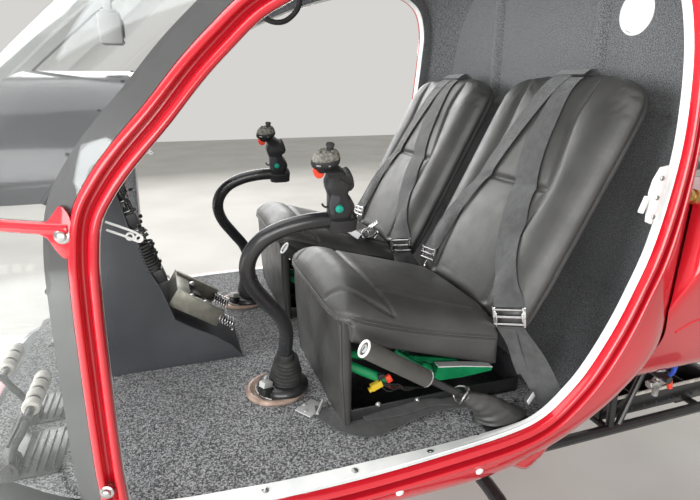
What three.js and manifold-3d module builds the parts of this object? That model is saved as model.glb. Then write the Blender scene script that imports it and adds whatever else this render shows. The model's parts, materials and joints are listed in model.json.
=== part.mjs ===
// Cabin section of a small two-seat helicopter, standing on its own skids.
// Millimetres. While the parts are made, +X points to the nose, +Y to port and +Z up; X = 0 is just
// behind the door's front post, Y = 0 is the centreline and Z = 0 is the top of the cabin carpet.
// The group at the end moves the origin to the middle of the footprint, at ground level.
import * as THREE from 'three';
import Module from 'manifold-3d';
import { mergeVertices } from 'three/addons/utils/BufferGeometryUtils.js';

const wasm = await Module();
wasm.setup();

// Driving dimensions
const GAP = 0.3; // clearance between pieces that touch
const SKIN = 10; // thickness of the moulded cabin shell
const GLAZING_FROM = 2; // depth of the acrylic's outer and inner faces below the shell's outer face
const GLAZING_TO = 6;
const SEAT_PITCH = 660; // distance between the two seats' centrelines
const SEAT_Y = SEAT_PITCH / 2;
const SEAT_WIDTH = 500;
const GROUND = -650; // height of the ground below the carpet
const JOINT_LINE = -48; // height where the belly meets the upper shell
const BAR_BOTTOM = 574; // the bar between windscreen and chin windows
const BAR_TOP = 596;
const ROOF_EDGE = -330; // where the windscreen ends and the roof begins
const SURROUND_WIDTH = 48; // width of the moulded surround round each door opening
const SKID_REAR = -2050;
const SKID_NOSE = 1010;
const SKID_Y = 880;
const SKID_RADIUS = 25;
const SKID_FACES = 12;

// Hull sections: x, half width, roof height, belly height, height of the widest point
const HULL = [
  [-1270, 600, 1235, 235, 600],
  [-1200, 672, 1290, 160, 560],
  [-1130, 722, 1325, 90, 510],
  [-1030, 742, 1350, 10, 470],
  [-900, 750, 1366, -70, 450],
  [-740, 755, 1370, -130, 450],
  [-400, 755, 1325, -150, 450],
  [-100, 747, 1190, -150, 440],
  [163, 703, 1003, -145, 420],
  [300, 630, 885, -125, 390],
  [450, 540, 748, -85, 360],
  [600, 430, 610, -30, 330],
  [750, 280, 460, 60, 290],
  [830, 160, 375, 140, 270],
  [860, 60, 310, 220, 265],
];
const ROUND_ABOVE = 3; // superellipse exponents of a section above and below its widest point
const ROUND_BELOW = 10;
const SECTION_STEPS = 7; // points in a quarter of a section
const HULL_MIDDLE = -200; // insets shrink the hull's length towards this station

// Materials
const paint = (color, roughness = 0.3, metalness = 0) =>
  new THREE.MeshStandardMaterial({ color, roughness, metalness });
const red = paint(0xc0141f, 0.25);
const white = paint(0xe9e9e4, 0.4);
const acrylic = new THREE.MeshStandardMaterial({
  color: 0xb9c4c6,
  roughness: 0.05,
  transparent: true,
  opacity: 0.3,
});
const carpet = paint(0x6b6c6e, 1);
const darkPanel = paint(0x3c3e42, 0.6);
const leather = paint(0x1d1d1f, 0.45);
const webbing = paint(0x2c2c2e, 0.8);
const blackPaint = paint(0x141415, 0.4, 0.2);
const blackPlastic = paint(0x121213, 0.5);
const copper = paint(0x6a4636, 0.45, 0.6);
const steel = paint(0xb6b8ba, 0.3, 0.9);
const greenPaint = paint(0x1f8a4d, 0.4);
const foam = paint(0x4a4744, 0.9);
const greyPaint = paint(0x9a9a94, 0.5);

// Scene helpers
const group = new THREE.Group();

function add(name, geometry, material) {
  const mesh = new THREE.Mesh(geometry, material);
  mesh.name = name;
  group.add(mesh);
  return mesh;
}

const SIDES = [
  { name: 'port', sign: 1 },
  { name: 'starboard', sign: -1 },
];

function signedVolume(geometry) {
  const p = geometry.getAttribute('position');
  const index = geometry.getIndex();
  const [a, b, c] = [new THREE.Vector3(), new THREE.Vector3(), new THREE.Vector3()];
  let sum = 0;
  for (let i = 0; i < index.count; i += 3) {
    a.fromBufferAttribute(p, index.getX(i));
    b.fromBufferAttribute(p, index.getX(i + 1));
    c.fromBufferAttribute(p, index.getX(i + 2));
    sum += a.dot(b.cross(c));
  }
  return sum;
}

function solid(geometry) {
  const bare = geometry.clone();
  bare.deleteAttribute('normal');
  bare.deleteAttribute('uv');
  const merged = mergeVertices(bare, 1e-3);
  const triVerts = Uint32Array.from(merged.getIndex().array);
  if (signedVolume(merged) < 0) triVerts.reverse();
  const vertProperties = Float32Array.from(merged.getAttribute('position').array);
  return new wasm.Manifold(new wasm.Mesh({ numProp: 3, vertProperties, triVerts }));
}

function shape(manifold) {
  const mesh = manifold.getMesh();
  const geometry = new THREE.BufferGeometry();
  geometry.setAttribute('position', new THREE.BufferAttribute(mesh.vertProperties, 3));
  geometry.setIndex(new THREE.BufferAttribute(mesh.triVerts, 1));
  geometry.computeVertexNormals();
  return geometry;
}

function join(...geometries) {
  return shape(geometries.map(solid).reduce((sum, next) => sum.add(next)));
}

// A closed body through a row of closed rings of points; the row closes on itself or gets two ends
function loft(rings, closed = false) {
  const count = rings[0].length;
  const points = rings.flat();
  const triangles = [];
  const rows = closed ? rings.length : rings.length - 1;
  for (let i = 0; i < rows; i++) {
    const next = ((i + 1) % rings.length) * count;
    for (let j = 0; j < count; j++) {
      const k = (j + 1) % count;
      triangles.push(i * count + j, i * count + k, next + k);
      triangles.push(i * count + j, next + k, next + j);
    }
  }
  if (!closed) {
    for (const [row, flip] of [[0, true], [rings.length - 1, false]]) {
      const middle = rings[row].reduce((sum, p) => sum.add(p), new THREE.Vector3()).divideScalar(count);
      points.push(middle);
      for (let j = 0; j < count; j++) {
        const edge = [row * count + j, row * count + ((j + 1) % count)];
        if (flip) edge.reverse();
        triangles.push(edge[0], edge[1], points.length - 1);
      }
    }
  }
  const geometry = new THREE.BufferGeometry().setFromPoints(points);
  geometry.setIndex(triangles);
  if (signedVolume(geometry) < 0) geometry.setIndex(triangles.reverse());
  geometry.computeVertexNormals();
  return geometry;
}

function box(x0, x1, y0, y1, z0, z1) {
  const geometry = new THREE.BoxGeometry(x1 - x0, y1 - y0, z1 - z0);
  return geometry.translate((x0 + x1) / 2, (y0 + y1) / 2, (z0 + z1) / 2);
}

function extruded(outline, depth) {
  const path = new THREE.Shape(outline.map(([a, b]) => new THREE.Vector2(a, b)));
  return new THREE.ExtrudeGeometry(path, { depth, bevelEnabled: false });
}

// Prisms: an outline in X and Z carried along Y, in X and Y carried along Z, in Y and Z along X
const prismAlongY = (outline, y0, y1) =>
  extruded(outline, y1 - y0).rotateX(Math.PI / 2).translate(0, y1, 0);
const prismAlongZ = (outline, z0, z1) => extruded(outline, z1 - z0).translate(0, 0, z0);
const prismAlongX = (outline, x0, x1) =>
  extruded(outline, x1 - x0).rotateX(Math.PI / 2).rotateZ(Math.PI / 2).translate(x0, 0, 0);

// Points of a path whose corners are rounded, starting the given distance before each corner
function roundedPath(points, reach, steps = 4) {
  const places = points.map((p) => new THREE.Vector3(...p));
  if (!reach) return places;
  const path = [places[0]];
  for (let i = 1; i < places.length - 1; i++) {
    const [from, corner, to] = places.slice(i - 1, i + 2);
    const start = corner.clone().lerp(from, reach / corner.distanceTo(from));
    const end = corner.clone().lerp(to, reach / corner.distanceTo(to));
    path.push(...new THREE.QuadraticBezierCurve3(start, corner, end).getPoints(steps));
  }
  path.push(places[places.length - 1]);
  return path;
}

// A round rod through points
function rod(points, radius, sides = 8, reach = 0) {
  const path = roundedPath(points, reach);
  const tangents = path.map((p, i) =>
    path[Math.min(i + 1, path.length - 1)].clone().sub(path[Math.max(i - 1, 0)]).normalize());
  const across = new THREE.Vector3(0, 0, 1);
  if (Math.abs(tangents[0].z) > 0.9) across.set(0, 1, 0);
  const rings = path.map((p, i) => {
    across.addScaledVector(tangents[i], -across.dot(tangents[i])).normalize();
    const other = new THREE.Vector3().crossVectors(tangents[i], across);
    return Array.from({ length: sides }, (_, j) => {
      const angle = ((j + 0.5) / sides) * Math.PI * 2;
      return p.clone().addScaledVector(across, radius * Math.cos(angle)).addScaledVector(other, radius * Math.sin(angle));
    });
  });
  return loft(rings);
}

// A body turned about the vertical through (x, y): its profile lists radius and height
function turned(profile, x, y, segments = 20) {
  const points = profile.map(([r, z]) => new THREE.Vector2(r, z));
  return new THREE.LatheGeometry([...points, points[0].clone()], segments).rotateX(Math.PI / 2).translate(x, y, 0);
}

// Hull surface

function hullSection(x) {
  const last = HULL.length - 1;
  const place = THREE.MathUtils.clamp(x, HULL[0][0], HULL[last][0]);
  const i = Math.min(last, Math.max(1, HULL.findIndex((row) => row[0] >= place)));
  const share = (place - HULL[i - 1][0]) / (HULL[i][0] - HULL[i - 1][0]);
  const [, width, top, bottom, waist] = HULL[i].map((v, k) => THREE.MathUtils.lerp(HULL[i - 1][k], v, share));
  return { width, top, bottom, waist };
}

// Half width of the hull's outer face at a station and a height
function halfWidth(x, z) {
  const s = hullSection(x);
  const up = z > s.waist;
  const r = Math.min(0.999, up ? (z - s.waist) / (s.top - s.waist) : (s.waist - z) / (s.waist - s.bottom));
  const n = up ? ROUND_ABOVE : ROUND_BELOW;
  return s.width * (1 - r ** n) ** (1 / n);
}

// The hull as one closed body whose faces lie inset by the given depth; an open one runs out aft
function hullBody(inset, openAft = false) {
  const span = [HULL[0][0], HULL[HULL.length - 1][0]];
  const rings = HULL.map(([x, width, top, bottom, waist]) => {
    const end = x > HULL_MIDDLE ? span[1] : span[0];
    const reach = Math.abs(end - HULL_MIDDLE);
    const scale = openAft && x < HULL_MIDDLE ? 1 + inset / reach : 1 - inset / reach;
    const place = HULL_MIDDLE + (x - HULL_MIDDLE) * scale;
    const ring = [];
    for (let j = 0; j < SECTION_STEPS * 4; j++) {
      const angle = (j / (SECTION_STEPS * 4)) * Math.PI * 2 + Math.PI / (SECTION_STEPS * 4);
      const [c, s] = [Math.cos(angle), Math.sin(angle)];
      const n = s > 0 ? ROUND_ABOVE : ROUND_BELOW;
      const height = s > 0 ? top - inset - waist : waist - bottom - inset;
      const y = Math.sign(c) * Math.abs(c) ** (2 / n) * (width - inset);
      const z = waist + Math.sign(s) * Math.abs(s) ** (2 / n) * height;
      ring.push(new THREE.Vector3(place, y, z));
    }
    return ring;
  });
  return solid(loft(rings));
}

const hullShell = hullBody(0).subtract(hullBody(SKIN, true));
const glazingShell = hullBody(GLAZING_FROM).subtract(hullBody(GLAZING_TO, true));
const cabinSpace = hullBody(SKIN + GAP, true);

// Door openings: the hole's edge seen from the side, x and z, from the sill's front end
const DOOR_EDGE = [
  [126, 20], [134, 90], [134, 200], [131, 330], [126, 460], [119, 560], [109, 616], [86, 645], [54, 675],
  [-7, 742], [-66, 810], [-112, 856], [-165, 904], [-221, 937], [-370, 1022], [-540, 1092], [-710, 1138],
  [-860, 1153], [-980, 1142], [-1055, 1096], [-1094, 1015], [-1102, 912], [-1099, 781], [-1090, 643],
  [-1048, 435], [-1007, 340], [-958, 243], [-895, 147], [-851, 101], [-800, 59], [-755, 38], [-694, 26],
  [-528, 11], [-367, 0], [-200, -2], [0, -2], [90, -2],
];
const DOOR_SAMPLES = 74;
const doorCurve = new THREE.CatmullRomCurve3(
  DOOR_EDGE.map(([x, z]) => new THREE.Vector3(x, 0, z)), true, 'centripetal');

function doorPoint(i, outwards) {
  const t = i / DOOR_SAMPLES;
  const p = doorCurve.getPoint(t);
  const along = doorCurve.getTangent(t);
  return [p.x + along.z * outwards, p.z - along.x * outwards];
}
const doorOutline = (outwards) =>
  Array.from({ length: DOOR_SAMPLES }, (_, i) => doorPoint(i, outwards));

// Surround section: distance outwards from the hole's edge, height over the hull's side
const SURROUND = [
  [3, -44], [0, -22], [3, -8], [9, 0], [15, -2], [20, -8], [28, -8], [33, 2], [40, 5], [46, 2], [48, -4],
  [48, -16], [22, -40],
];

const doorHoles = solid(prismAlongY(doorOutline(SURROUND_WIDTH + GAP), -1000, 1000));

function surround(sign) {
  const rings = Array.from({ length: DOOR_SAMPLES }, (_, i) =>
    SURROUND.map(([outwards, height]) => {
      const [x, z] = doorPoint(i, outwards);
      return new THREE.Vector3(x, sign * (halfWidth(x, z) + height), z);
    }));
  return loft(rings, true);
}

// Cabin shell and glazing
const FAR = 2000;
const below = (z) => solid(box(-FAR, FAR, -FAR, FAR, -FAR, z));
const above = (z) => solid(box(-FAR, FAR, -FAR, FAR, z, FAR));
const between = (z0, z1) => solid(box(-FAR, FAR, -FAR, FAR, z0, z1));
const ahead = (x) => solid(box(x, FAR, -FAR, FAR, -FAR, FAR));
const NOSE_START = 100; // the nose's frame and windows lie ahead of this station
const KEEL_HALF = 60; // half width of the nose's middle strip

add('belly_shell', shape(hullShell.intersect(below(JOINT_LINE - GAP)).subtract(doorHoles)), red);

const noseRegion = ahead(NOSE_START).intersect(above(JOINT_LINE));
const glassAhead = ahead(ROOF_EDGE + GAP).intersect(above(BAR_TOP));
add('upper_shell', shape(hullShell.intersect(above(JOINT_LINE)).subtract(doorHoles)
  .subtract(ahead(ROOF_EDGE).intersect(above(BAR_BOTTOM))).subtract(noseRegion)), red);

const bar = hullShell.intersect(between(BAR_BOTTOM + GAP, BAR_TOP - GAP)).intersect(ahead(NOSE_START));
const keel = hullShell.intersect(solid(box(NOSE_START, FAR, -KEEL_HALF, KEEL_HALF, JOINT_LINE, BAR_TOP - GAP)));
add('nose_frame', shape(bar.add(keel).subtract(doorHoles)), red);

add('windscreen', shape(glazingShell.intersect(glassAhead).subtract(doorHoles)), acrylic);
for (const { name, sign } of SIDES) {
  const side = solid(sign > 0
    ? box(NOSE_START, FAR, KEEL_HALF + GAP, FAR, JOINT_LINE + GAP, BAR_BOTTOM)
    : box(NOSE_START, FAR, -FAR, -KEEL_HALF - GAP, JOINT_LINE + GAP, BAR_BOTTOM));
  add(`chin_window_${name}`, shape(glazingShell.intersect(side).subtract(doorHoles)), acrylic);
  add(`door_surround_${name}`, surround(sign), red);
}

// Rear bulkhead with its round access hole
const BULKHEAD = { front: -1240, rear: -1250, holeY: 381, holeZ: 992, holeRadius: 52 };
const accessHole = solid(turned([[0, -1300], [BULKHEAD.holeRadius, -1300], [BULKHEAD.holeRadius, -1200],
  [0, -1200]], 0, 0).rotateY(Math.PI / 2).translate(0, BULKHEAD.holeY, BULKHEAD.holeZ));
add('rear_bulkhead', shape(cabinSpace
  .intersect(solid(box(BULKHEAD.rear, BULKHEAD.front, -FAR, FAR, -FAR, FAR))).subtract(accessHole)), carpet);

// Cabin floor: a carpeted board inside the surrounds
const FLOOR = { rear: -1180, front: 480, thickness: 12 };
add('floor_carpet', shape(hullBody(50).intersect(
  solid(box(FLOOR.rear, FLOOR.front, -FAR, FAR, -FLOOR.thickness, 0)))), carpet);

// White sill strips along the carpet's edge, inside each door; inner and outer lie below the hull's side
const SILL = { rear: -760, front: 110, steps: 10, inner: 58, outer: 47, top: 2 };
for (const { name, sign } of SIDES) {
  const line = (depth) => Array.from({ length: SILL.steps + 1 }, (_, i) => {
    const x = THREE.MathUtils.lerp(SILL.rear, SILL.front, i / SILL.steps);
    return [x, sign * (halfWidth(x, 0) - depth)];
  });
  const outline = [...line(SILL.inner), ...line(SILL.outer).reverse()];
  add(`sill_strip_${name}`, prismAlongZ(outline, GAP, GAP + SILL.top), white);
}

// Windscreen centre post, just inside the acrylic
const POST = { halfWidth: 19, thickness: 18, from: -320, to: 590 };
const roofLine = HULL.filter(([x]) => x > POST.from && x < POST.to).map(([x, , top]) => [x, top]);
const postTop = [[POST.from, hullSection(POST.from).top], ...roofLine, [POST.to, hullSection(POST.to).top]];
const postOutline = [...postTop, ...postTop.map(([x, z]) => [x - POST.thickness * 0.6, z - POST.thickness]).reverse()]
  .map(([x, z]) => [x - GLAZING_TO * 0.6, z - GLAZING_TO * 1.6]);
add('windscreen_post', prismAlongY(postOutline, -POST.halfWidth, POST.halfWidth), greyPaint);

// Compass hung from the post
add('compass', box(82, 138, -34, 34, 905, 981), darkPanel);

// Console between the pilots' feet: its side outline, x and z
const CONSOLE_HALF = 110;
const CONSOLE_SIDE = [
  [-160, 0.5], [215, 0.5], [250, 300], [250, 555], [104, 555], [63, 440], [49, 340], [27, 250], [-115, 100],
];
add('console', prismAlongY(CONSOLE_SIDE, -CONSOLE_HALF, CONSOLE_HALF), darkPanel);

// Instrument pod and its glare shield: an arch cut by a leaning plane at its aft end
const POD = { halfWidth: 318, base: 556, crown: 838, front: 440 };
const archSteps = 16;
const arch = Array.from({ length: archSteps + 1 }, (_, i) => {
  const angle = (i / archSteps) * Math.PI;
  const [c, s] = [Math.cos(angle), Math.sin(angle)];
  return [POD.halfWidth * Math.sign(c) * Math.abs(c) ** 0.72, POD.base + (POD.crown - POD.base) * s ** 0.72];
});
const leaning = solid(prismAlongY([[41, 842], [268, POD.base], [600, POD.base], [600, 842]], -400, 400));
const hood = solid(prismAlongX(arch, 30, POD.front)).intersect(leaning).intersect(hullBody(SKIN + 22));
add('instrument_hood', shape(hood), darkPanel);

// Pedals: foot bars, x and inner and outer end; the left pedals stand aft of the right ones
const PEDAL = { axleX: 380, axleZ: 26, armTop: 138, barRadius: 16 };
const PEDALS = {
  port: [{ side: 'left', barX: 333, inner: 300, outer: 470 }, { side: 'right', barX: 427, inner: 124, outer: 264 }],
  starboard: [
    { side: 'left', barX: 333, inner: -124, outer: -264 }, { side: 'right', barX: 427, inner: -300, outer: -470 },
  ],
};

// Collective levers: hinge, the lever's place across the cabin, and the middle of the handle's end
const COLLECTIVE_PIVOT_Z = 34;
const COLLECTIVES = {
  port: { pivotX: -700, levelY: 644, capX: -360, capZ: 260 },
  starboard: { pivotX: -672, levelY: -35, capX: -332, capZ: 293 },
};

// Cyclic sticks: they lean to port in one plane; x and height along that plane
const LEAN = THREE.MathUtils.degToRad(22);
const STICK = { radius: 18, footX: -232, pivotHeight: 65 };
const RECLINE = THREE.MathUtils.degToRad(27.5);
const STICK_PATH = [
  [-234, 152], [-238, 200], [-238, 245], [-224, 285], [-190, 340], [-155, 395], [-141, 446], [-150, 492],
  [-178, 523], [-220, 545], [-270, 556], [-330, 561], [-366, 562],
];
const leaned = (x, h, across = 0) =>
  [x, across * Math.cos(LEAN) + h * Math.sin(LEAN), h * Math.cos(LEAN) - across * Math.sin(LEAN)];

// Seat cushion: x, share of the full width, and the heights of its bottom, of its side edge and of its crown
const CUSHION = [
  [-320, 0.86, 301, 304, 332], [-335, 0.95, 301, 307, 350], [-349, 1, 301, 306, 357], [-350.5, 1, 237.3, 305.8, 357.5],
  [-400, 1, 221, 287, 366], [-520, 1, 182, 245, 341], [-640, 1, 142.8, 217, 306], [-748, 1, 107.8, 197, 272],
];
const BACK_HALF = 280; // half width of the seat back

function seatSet(name, y) {
  const placed = (geometry) => geometry.translate(0, y, 0);
  const half = SEAT_WIDTH / 2;

  // Seat box: open from side to side, so that its tubes show
  const boxSide = [[-850, 0.5], [-350, 0.5], [-350, 236], [-780, 96], [-850, 84]];
  const boxHole = [[-800, 55], [-372, 55], [-372, 206], [-780, 74], [-800, 70]];
  const skirtSide = [[-356, 0.5], [-336, 0.5], [-322, 300], [-348.5, 300], [-348.5, 235], [-356, 232]];
  const seatBox = solid(prismAlongY(boxSide, -220, 220)).subtract(solid(prismAlongY(boxHole, -230, 230)))
    .add(solid(prismAlongY(skirtSide, -half + 10, half - 10)));
  add(`seat_box_${name}`, placed(shape(seatBox)), leather);

  const tubes = [-130, 130].map((ty) => rod([[-700, ty, 68], [-377, ty, 150]], 11));
  const across = rod([[-560, -128, 103], [-560, 128, 103]], 10);
  add(`seat_tubes_${name}`, placed(join(...tubes, across)), greenPaint);

  const cushionRings = CUSHION.map(([x, share, bottom, edge, crown]) => {
    const shoulder = THREE.MathUtils.lerp(edge, crown, 0.6);
    const side = [[244, bottom], [250, edge], [205, shoulder], [110, crown - 3]];
    return [...side, ...side.map(([a, b]) => [-a, b]).reverse()].map(([a, b]) => new THREE.Vector3(x, a * share, b));
  });
  add(`seat_cushion_${name}`, placed(loft(cushionRings)), leather);

  const backSide = [
    [-778, 256], [-800, 210], [-860, 215], [-1100, 690], [-1136, 790], [-1134, 822], [-1112, 838], [-1082, 822],
    [-1040, 747],
  ];
  const backFront = [
    [-BACK_HALF, 180], [BACK_HALF, 180], [BACK_HALF, 600], [BACK_HALF - 16, 750], [BACK_HALF - 44, 815],
    [BACK_HALF - 100, 850], [100 - BACK_HALF, 850], [44 - BACK_HALF, 815], [16 - BACK_HALF, 750], [-BACK_HALF, 600],
  ];
  const back = solid(prismAlongY(backSide, -BACK_HALF, BACK_HALF)).intersect(solid(prismAlongX(backFront, -1200, -700)));
  add(`seat_back_${name}`, placed(shape(back)), leather);

  // Shoulder straps on the seat back: a V of webbing, laid out across and up the back
  const strapSide = [
    [-38, 640], [-38, 470], [-205, 30], [-135, 20], [0, 380], [135, 20], [205, 30], [38, 470], [38, 640],
  ];
  const straps = prismAlongX(strapSide, 0, 4).rotateY(-RECLINE).translate(-774.5, 0, 258);
  add(`harness_${name}`, placed(straps), webbing);

  // Cyclic: floor ring with its post, pivot block, boot, bent stick and grip
  const pivot = leaned(STICK.footX, STICK.pivotHeight);
  const ring = turned([[0, 0.5], [82, 0.5], [82, 6], [70, 14], [0, 14]], STICK.footX + 12, 0, 24);
  add(`cyclic_ring_${name}`, placed(join(ring, rod([leaned(STICK.footX, 10), leaned(STICK.footX, 52)], 8))), copper);
  add(`cyclic_pivot_${name}`, placed(join(
    rod([[pivot[0] - 22, pivot[1], pivot[2]], [pivot[0] + 22, pivot[1], pivot[2]]], 9),
    rod([[pivot[0], pivot[1] - 22, pivot[2]], [pivot[0], pivot[1] + 22, pivot[2]]], 9))), steel);
  const boot = loft([[84, 40], [112, 30], [150, 21]].map(([h, r]) => Array.from({ length: 12 }, (_, i) => {
    const a = (i / 12) * Math.PI * 2;
    return new THREE.Vector3(...leaned(STICK.footX + r * Math.cos(a), h, r * Math.sin(a)));
  })));
  add(`cyclic_boot_${name}`, placed(boot), blackPlastic);
  add(`cyclic_stick_${name}`, placed(rod(STICK_PATH.map(([x, h]) => leaned(x, h)), STICK.radius, 10)), blackPaint);

  // Grip sections: height in the leaning plane, middle x, half depth, half width
  const gripRings = [
    [580, -345, 24, 20], [605, -338, 26, 21], [660, -325, 23, 20], [692, -308, 20, 19], [705, -300, 34, 25],
    [735, -296, 36, 26], [752, -297, 26, 20],
  ].map(([h, x, depth, width]) => Array.from({ length: 12 }, (_, i) => {
    const a = (i / 12) * Math.PI * 2;
    return new THREE.Vector3(...leaned(x + depth * Math.cos(a), h, width * Math.sin(a)));
  }));
  add(`cyclic_grip_${name}`, placed(loft(gripRings)), blackPlastic);

  // Collective: lever beside the seat, hinged in a floor bracket behind it
  const { pivotX, levelY, capX, capZ } = COLLECTIVES[name];
  const hinge = [pivotX, levelY, COLLECTIVE_PIVOT_Z];
  const cap = [capX, levelY, capZ];
  const along = (share) => hinge.map((v, i) => THREE.MathUtils.lerp(v, cap[i], share));
  const cheek = (y) => box(pivotX - 20, pivotX + 20, y - 6, y + 6, 5, 54);
  add(`collective_bracket_${name}`, join(
    box(pivotX - 45, pivotX + 45, levelY - 38, levelY + 38, 0.5, 8), cheek(levelY - 30), cheek(levelY + 30)), blackPaint);
  const hub = rod([[pivotX, levelY - 22, hinge[2]], [pivotX, levelY + 22, hinge[2]]], 16, 12);
  add(`collective_lever_${name}`, join(hub, rod([hinge, along(0.42)], 13), rod([along(0.36), cap], 21, 12)), foam);

  // Pedals: a foot bar on an arm that turns about an axle in the floor bracket
  const brackets = [];
  for (const { side, barX, inner, outer } of PEDALS[name]) {
    const out = Math.sign(outer);
    const armY = outer + out * 14;
    const span = (a, b) => [Math.min(a, b), Math.max(a, b)];
    const lug = (y) => box(PEDAL.axleX - 14, PEDAL.axleX + 14, y - 3, y + 3, 5, 44);
    brackets.push(box(PEDAL.axleX - 92, PEDAL.axleX + 42, ...span(inner + out * 30, armY + out * 16), 0.5, 7));
    brackets.push(lug(armY + out * 13), lug(armY - out * 31));
    add(`pedal_${side}_${name}`, join(
      rod([[PEDAL.axleX, armY - out * 24, PEDAL.axleZ], [PEDAL.axleX, armY + out * 6, PEDAL.axleZ]], 11, 10),
      rod([[PEDAL.axleX, armY, PEDAL.axleZ], [barX, armY, PEDAL.armTop]], 8),
      rod([[barX, inner, PEDAL.armTop], [barX, armY + out * 6, PEDAL.armTop]], PEDAL.barRadius, 12)), white);
  }
  const [left, right] = PEDALS[name].map(({ inner, outer }) => (inner + outer) / 2);
  brackets.push(box(PEDAL.axleX + 20, PEDAL.axleX + 42, Math.min(left, right), Math.max(left, right), 0.5, 7));
  add(`pedal_bracket_${name}`, join(...brackets), blackPaint);
}
seatSet('port', SEAT_Y);
seatSet('starboard', -SEAT_Y);

// Steel tube frame under and behind the cabin
const FRAME = { y: 470, z: -285, front: 330, bay: -1296, rear: -1950, bayTop: 560, topY: 436, rearTopY: 290 };
const TANK_SUPPORT = 640; // half length of the tubes that carry the side tanks
// Tubes on each side: from and to (x, y, z), radius
const SIDE_TUBES = [
  [[FRAME.rear - 22, FRAME.y, FRAME.z], [FRAME.front + 20, FRAME.y, FRAME.z], 17.5],
  [[FRAME.rear - 21, FRAME.rearTopY, FRAME.bayTop], [FRAME.bay + 20, FRAME.topY, FRAME.bayTop], 14],
  [[FRAME.rear, FRAME.y - 3, FRAME.z + 2], [FRAME.rear, FRAME.rearTopY + 2, FRAME.bayTop + 5], 13.1],
  [[FRAME.bay, FRAME.y - 2, FRAME.z + 2], [FRAME.bay, FRAME.topY + 1, FRAME.bayTop + 4], 13.3],
  [[FRAME.bay - 30, FRAME.y - 1, FRAME.z + 3], [FRAME.rear + 40, FRAME.rearTopY + 4, FRAME.bayTop - 3], 11.2],
  [[-701, FRAME.y - 1.5, FRAME.z + 2], [-700, FRAME.topY, -152], 12.3],
  [[1, FRAME.y - 1.5, FRAME.z + 2], [0, FRAME.topY, -152], 12.3],
];
// Tubes across: x, half length, z, radius
const CROSS_TUBES = [
  [FRAME.rear + 1.5, FRAME.y + 4, FRAME.z - 1, 12.6], [FRAME.bay + 2, FRAME.y + 4, FRAME.z - 1, 12.7],
  [-702, FRAME.y + 4, FRAME.z - 1, 12.8], [2, FRAME.y + 4, FRAME.z - 1, 12.9],
  [FRAME.front, FRAME.y + 4, FRAME.z - 1, 12.6], [FRAME.rear + 1, FRAME.rearTopY + 3, FRAME.bayTop - 1, 11.7],
  [FRAME.bay + 1, FRAME.topY + 3, FRAME.bayTop - 1, 11.8], [-1700, FRAME.y + 4, FRAME.z - 1, 12.7],
  [FRAME.bay - 1, TANK_SUPPORT, -5, 11.6], [FRAME.rear - 1, TANK_SUPPORT, -5, 11.6],
];
const sideTubes = SIDES.flatMap(({ sign }) => SIDE_TUBES.map(([from, to, radius]) =>
  rod([from, to].map(([x, y, z]) => [x, sign * y, z]), radius, 10)));
const crossTubes = CROSS_TUBES.map(([x, half, z, radius]) => rod([[x, -half, z], [x, half, z]], radius, 10));
add('tube_frame', join(...sideTubes, ...crossTubes), blackPaint);

// Skid gear: two bent cross tubes and two skids
const GEAR = { radius: 22, z: -326, stations: { front: 60, rear: -800 } };
for (const [place, x] of Object.entries(GEAR.stations)) {
  const half = [[640, GEAR.z], [SKID_Y - 20, GROUND + 2 * SKID_RADIUS + 10]];
  const hoop = [...half.map(([y, z]) => [x, -y, z]).reverse(), ...half.map(([y, z]) => [x, y, z])];
  add(`gear_tube_${place}`, rod(hoop, GEAR.radius, 12, 120), blackPaint);
}
for (const { name, sign } of SIDES) {
  const z = GROUND + SKID_RADIUS * Math.cos(Math.PI / SKID_FACES); // it stands on a face, not on an edge
  const y = sign * SKID_Y;
  const skid = rod([[SKID_REAR, y, z], [720, y, z], [SKID_NOSE - SKID_RADIUS, y, z + 200]], SKID_RADIUS, SKID_FACES, 260);
  add(`skid_${name}`, skid, blackPaint);
}

// Side tanks: sections, x and how far the outline shrinks
const TANK_SECTION = [[500, 40], [610, 12], [668, 60], [770, 380], [740, 520], [690, 545], [500, 560]];
for (const { name, sign } of SIDES) {
  const rings = [[-1180, 0.94], [-1200, 1], [-1940, 1], [-1985, 0.9]].map(([x, scale]) =>
    TANK_SECTION.map(([y, z]) => new THREE.Vector3(x, sign * (620 + (y - 620) * scale), 290 + (z - 290) * scale)));
  add(`side_tank_${name}`, shape(solid(loft(rings)).subtract(hullBody(-4))), red);
}

// Tray beside the frame
add('tray_port', box(-1780, -1284, 330, 434, -272.5, -195), blackPaint);

const bounds = new THREE.Box3().setFromObject(group);
const middle = bounds.getCenter(new THREE.Vector3());
group.position.set(-middle.x, -middle.y, -bounds.min.z);
group.updateMatrixWorld(true);

export default group;
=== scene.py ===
"""Looks of a helicopter cabin section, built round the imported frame. Metres, in the frame's own axes."""
import json
import math

import bmesh
import bpy
import numpy as np
from mathutils import Matrix, Vector, noise
from mathutils.bvhtree import BVHTree

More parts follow.
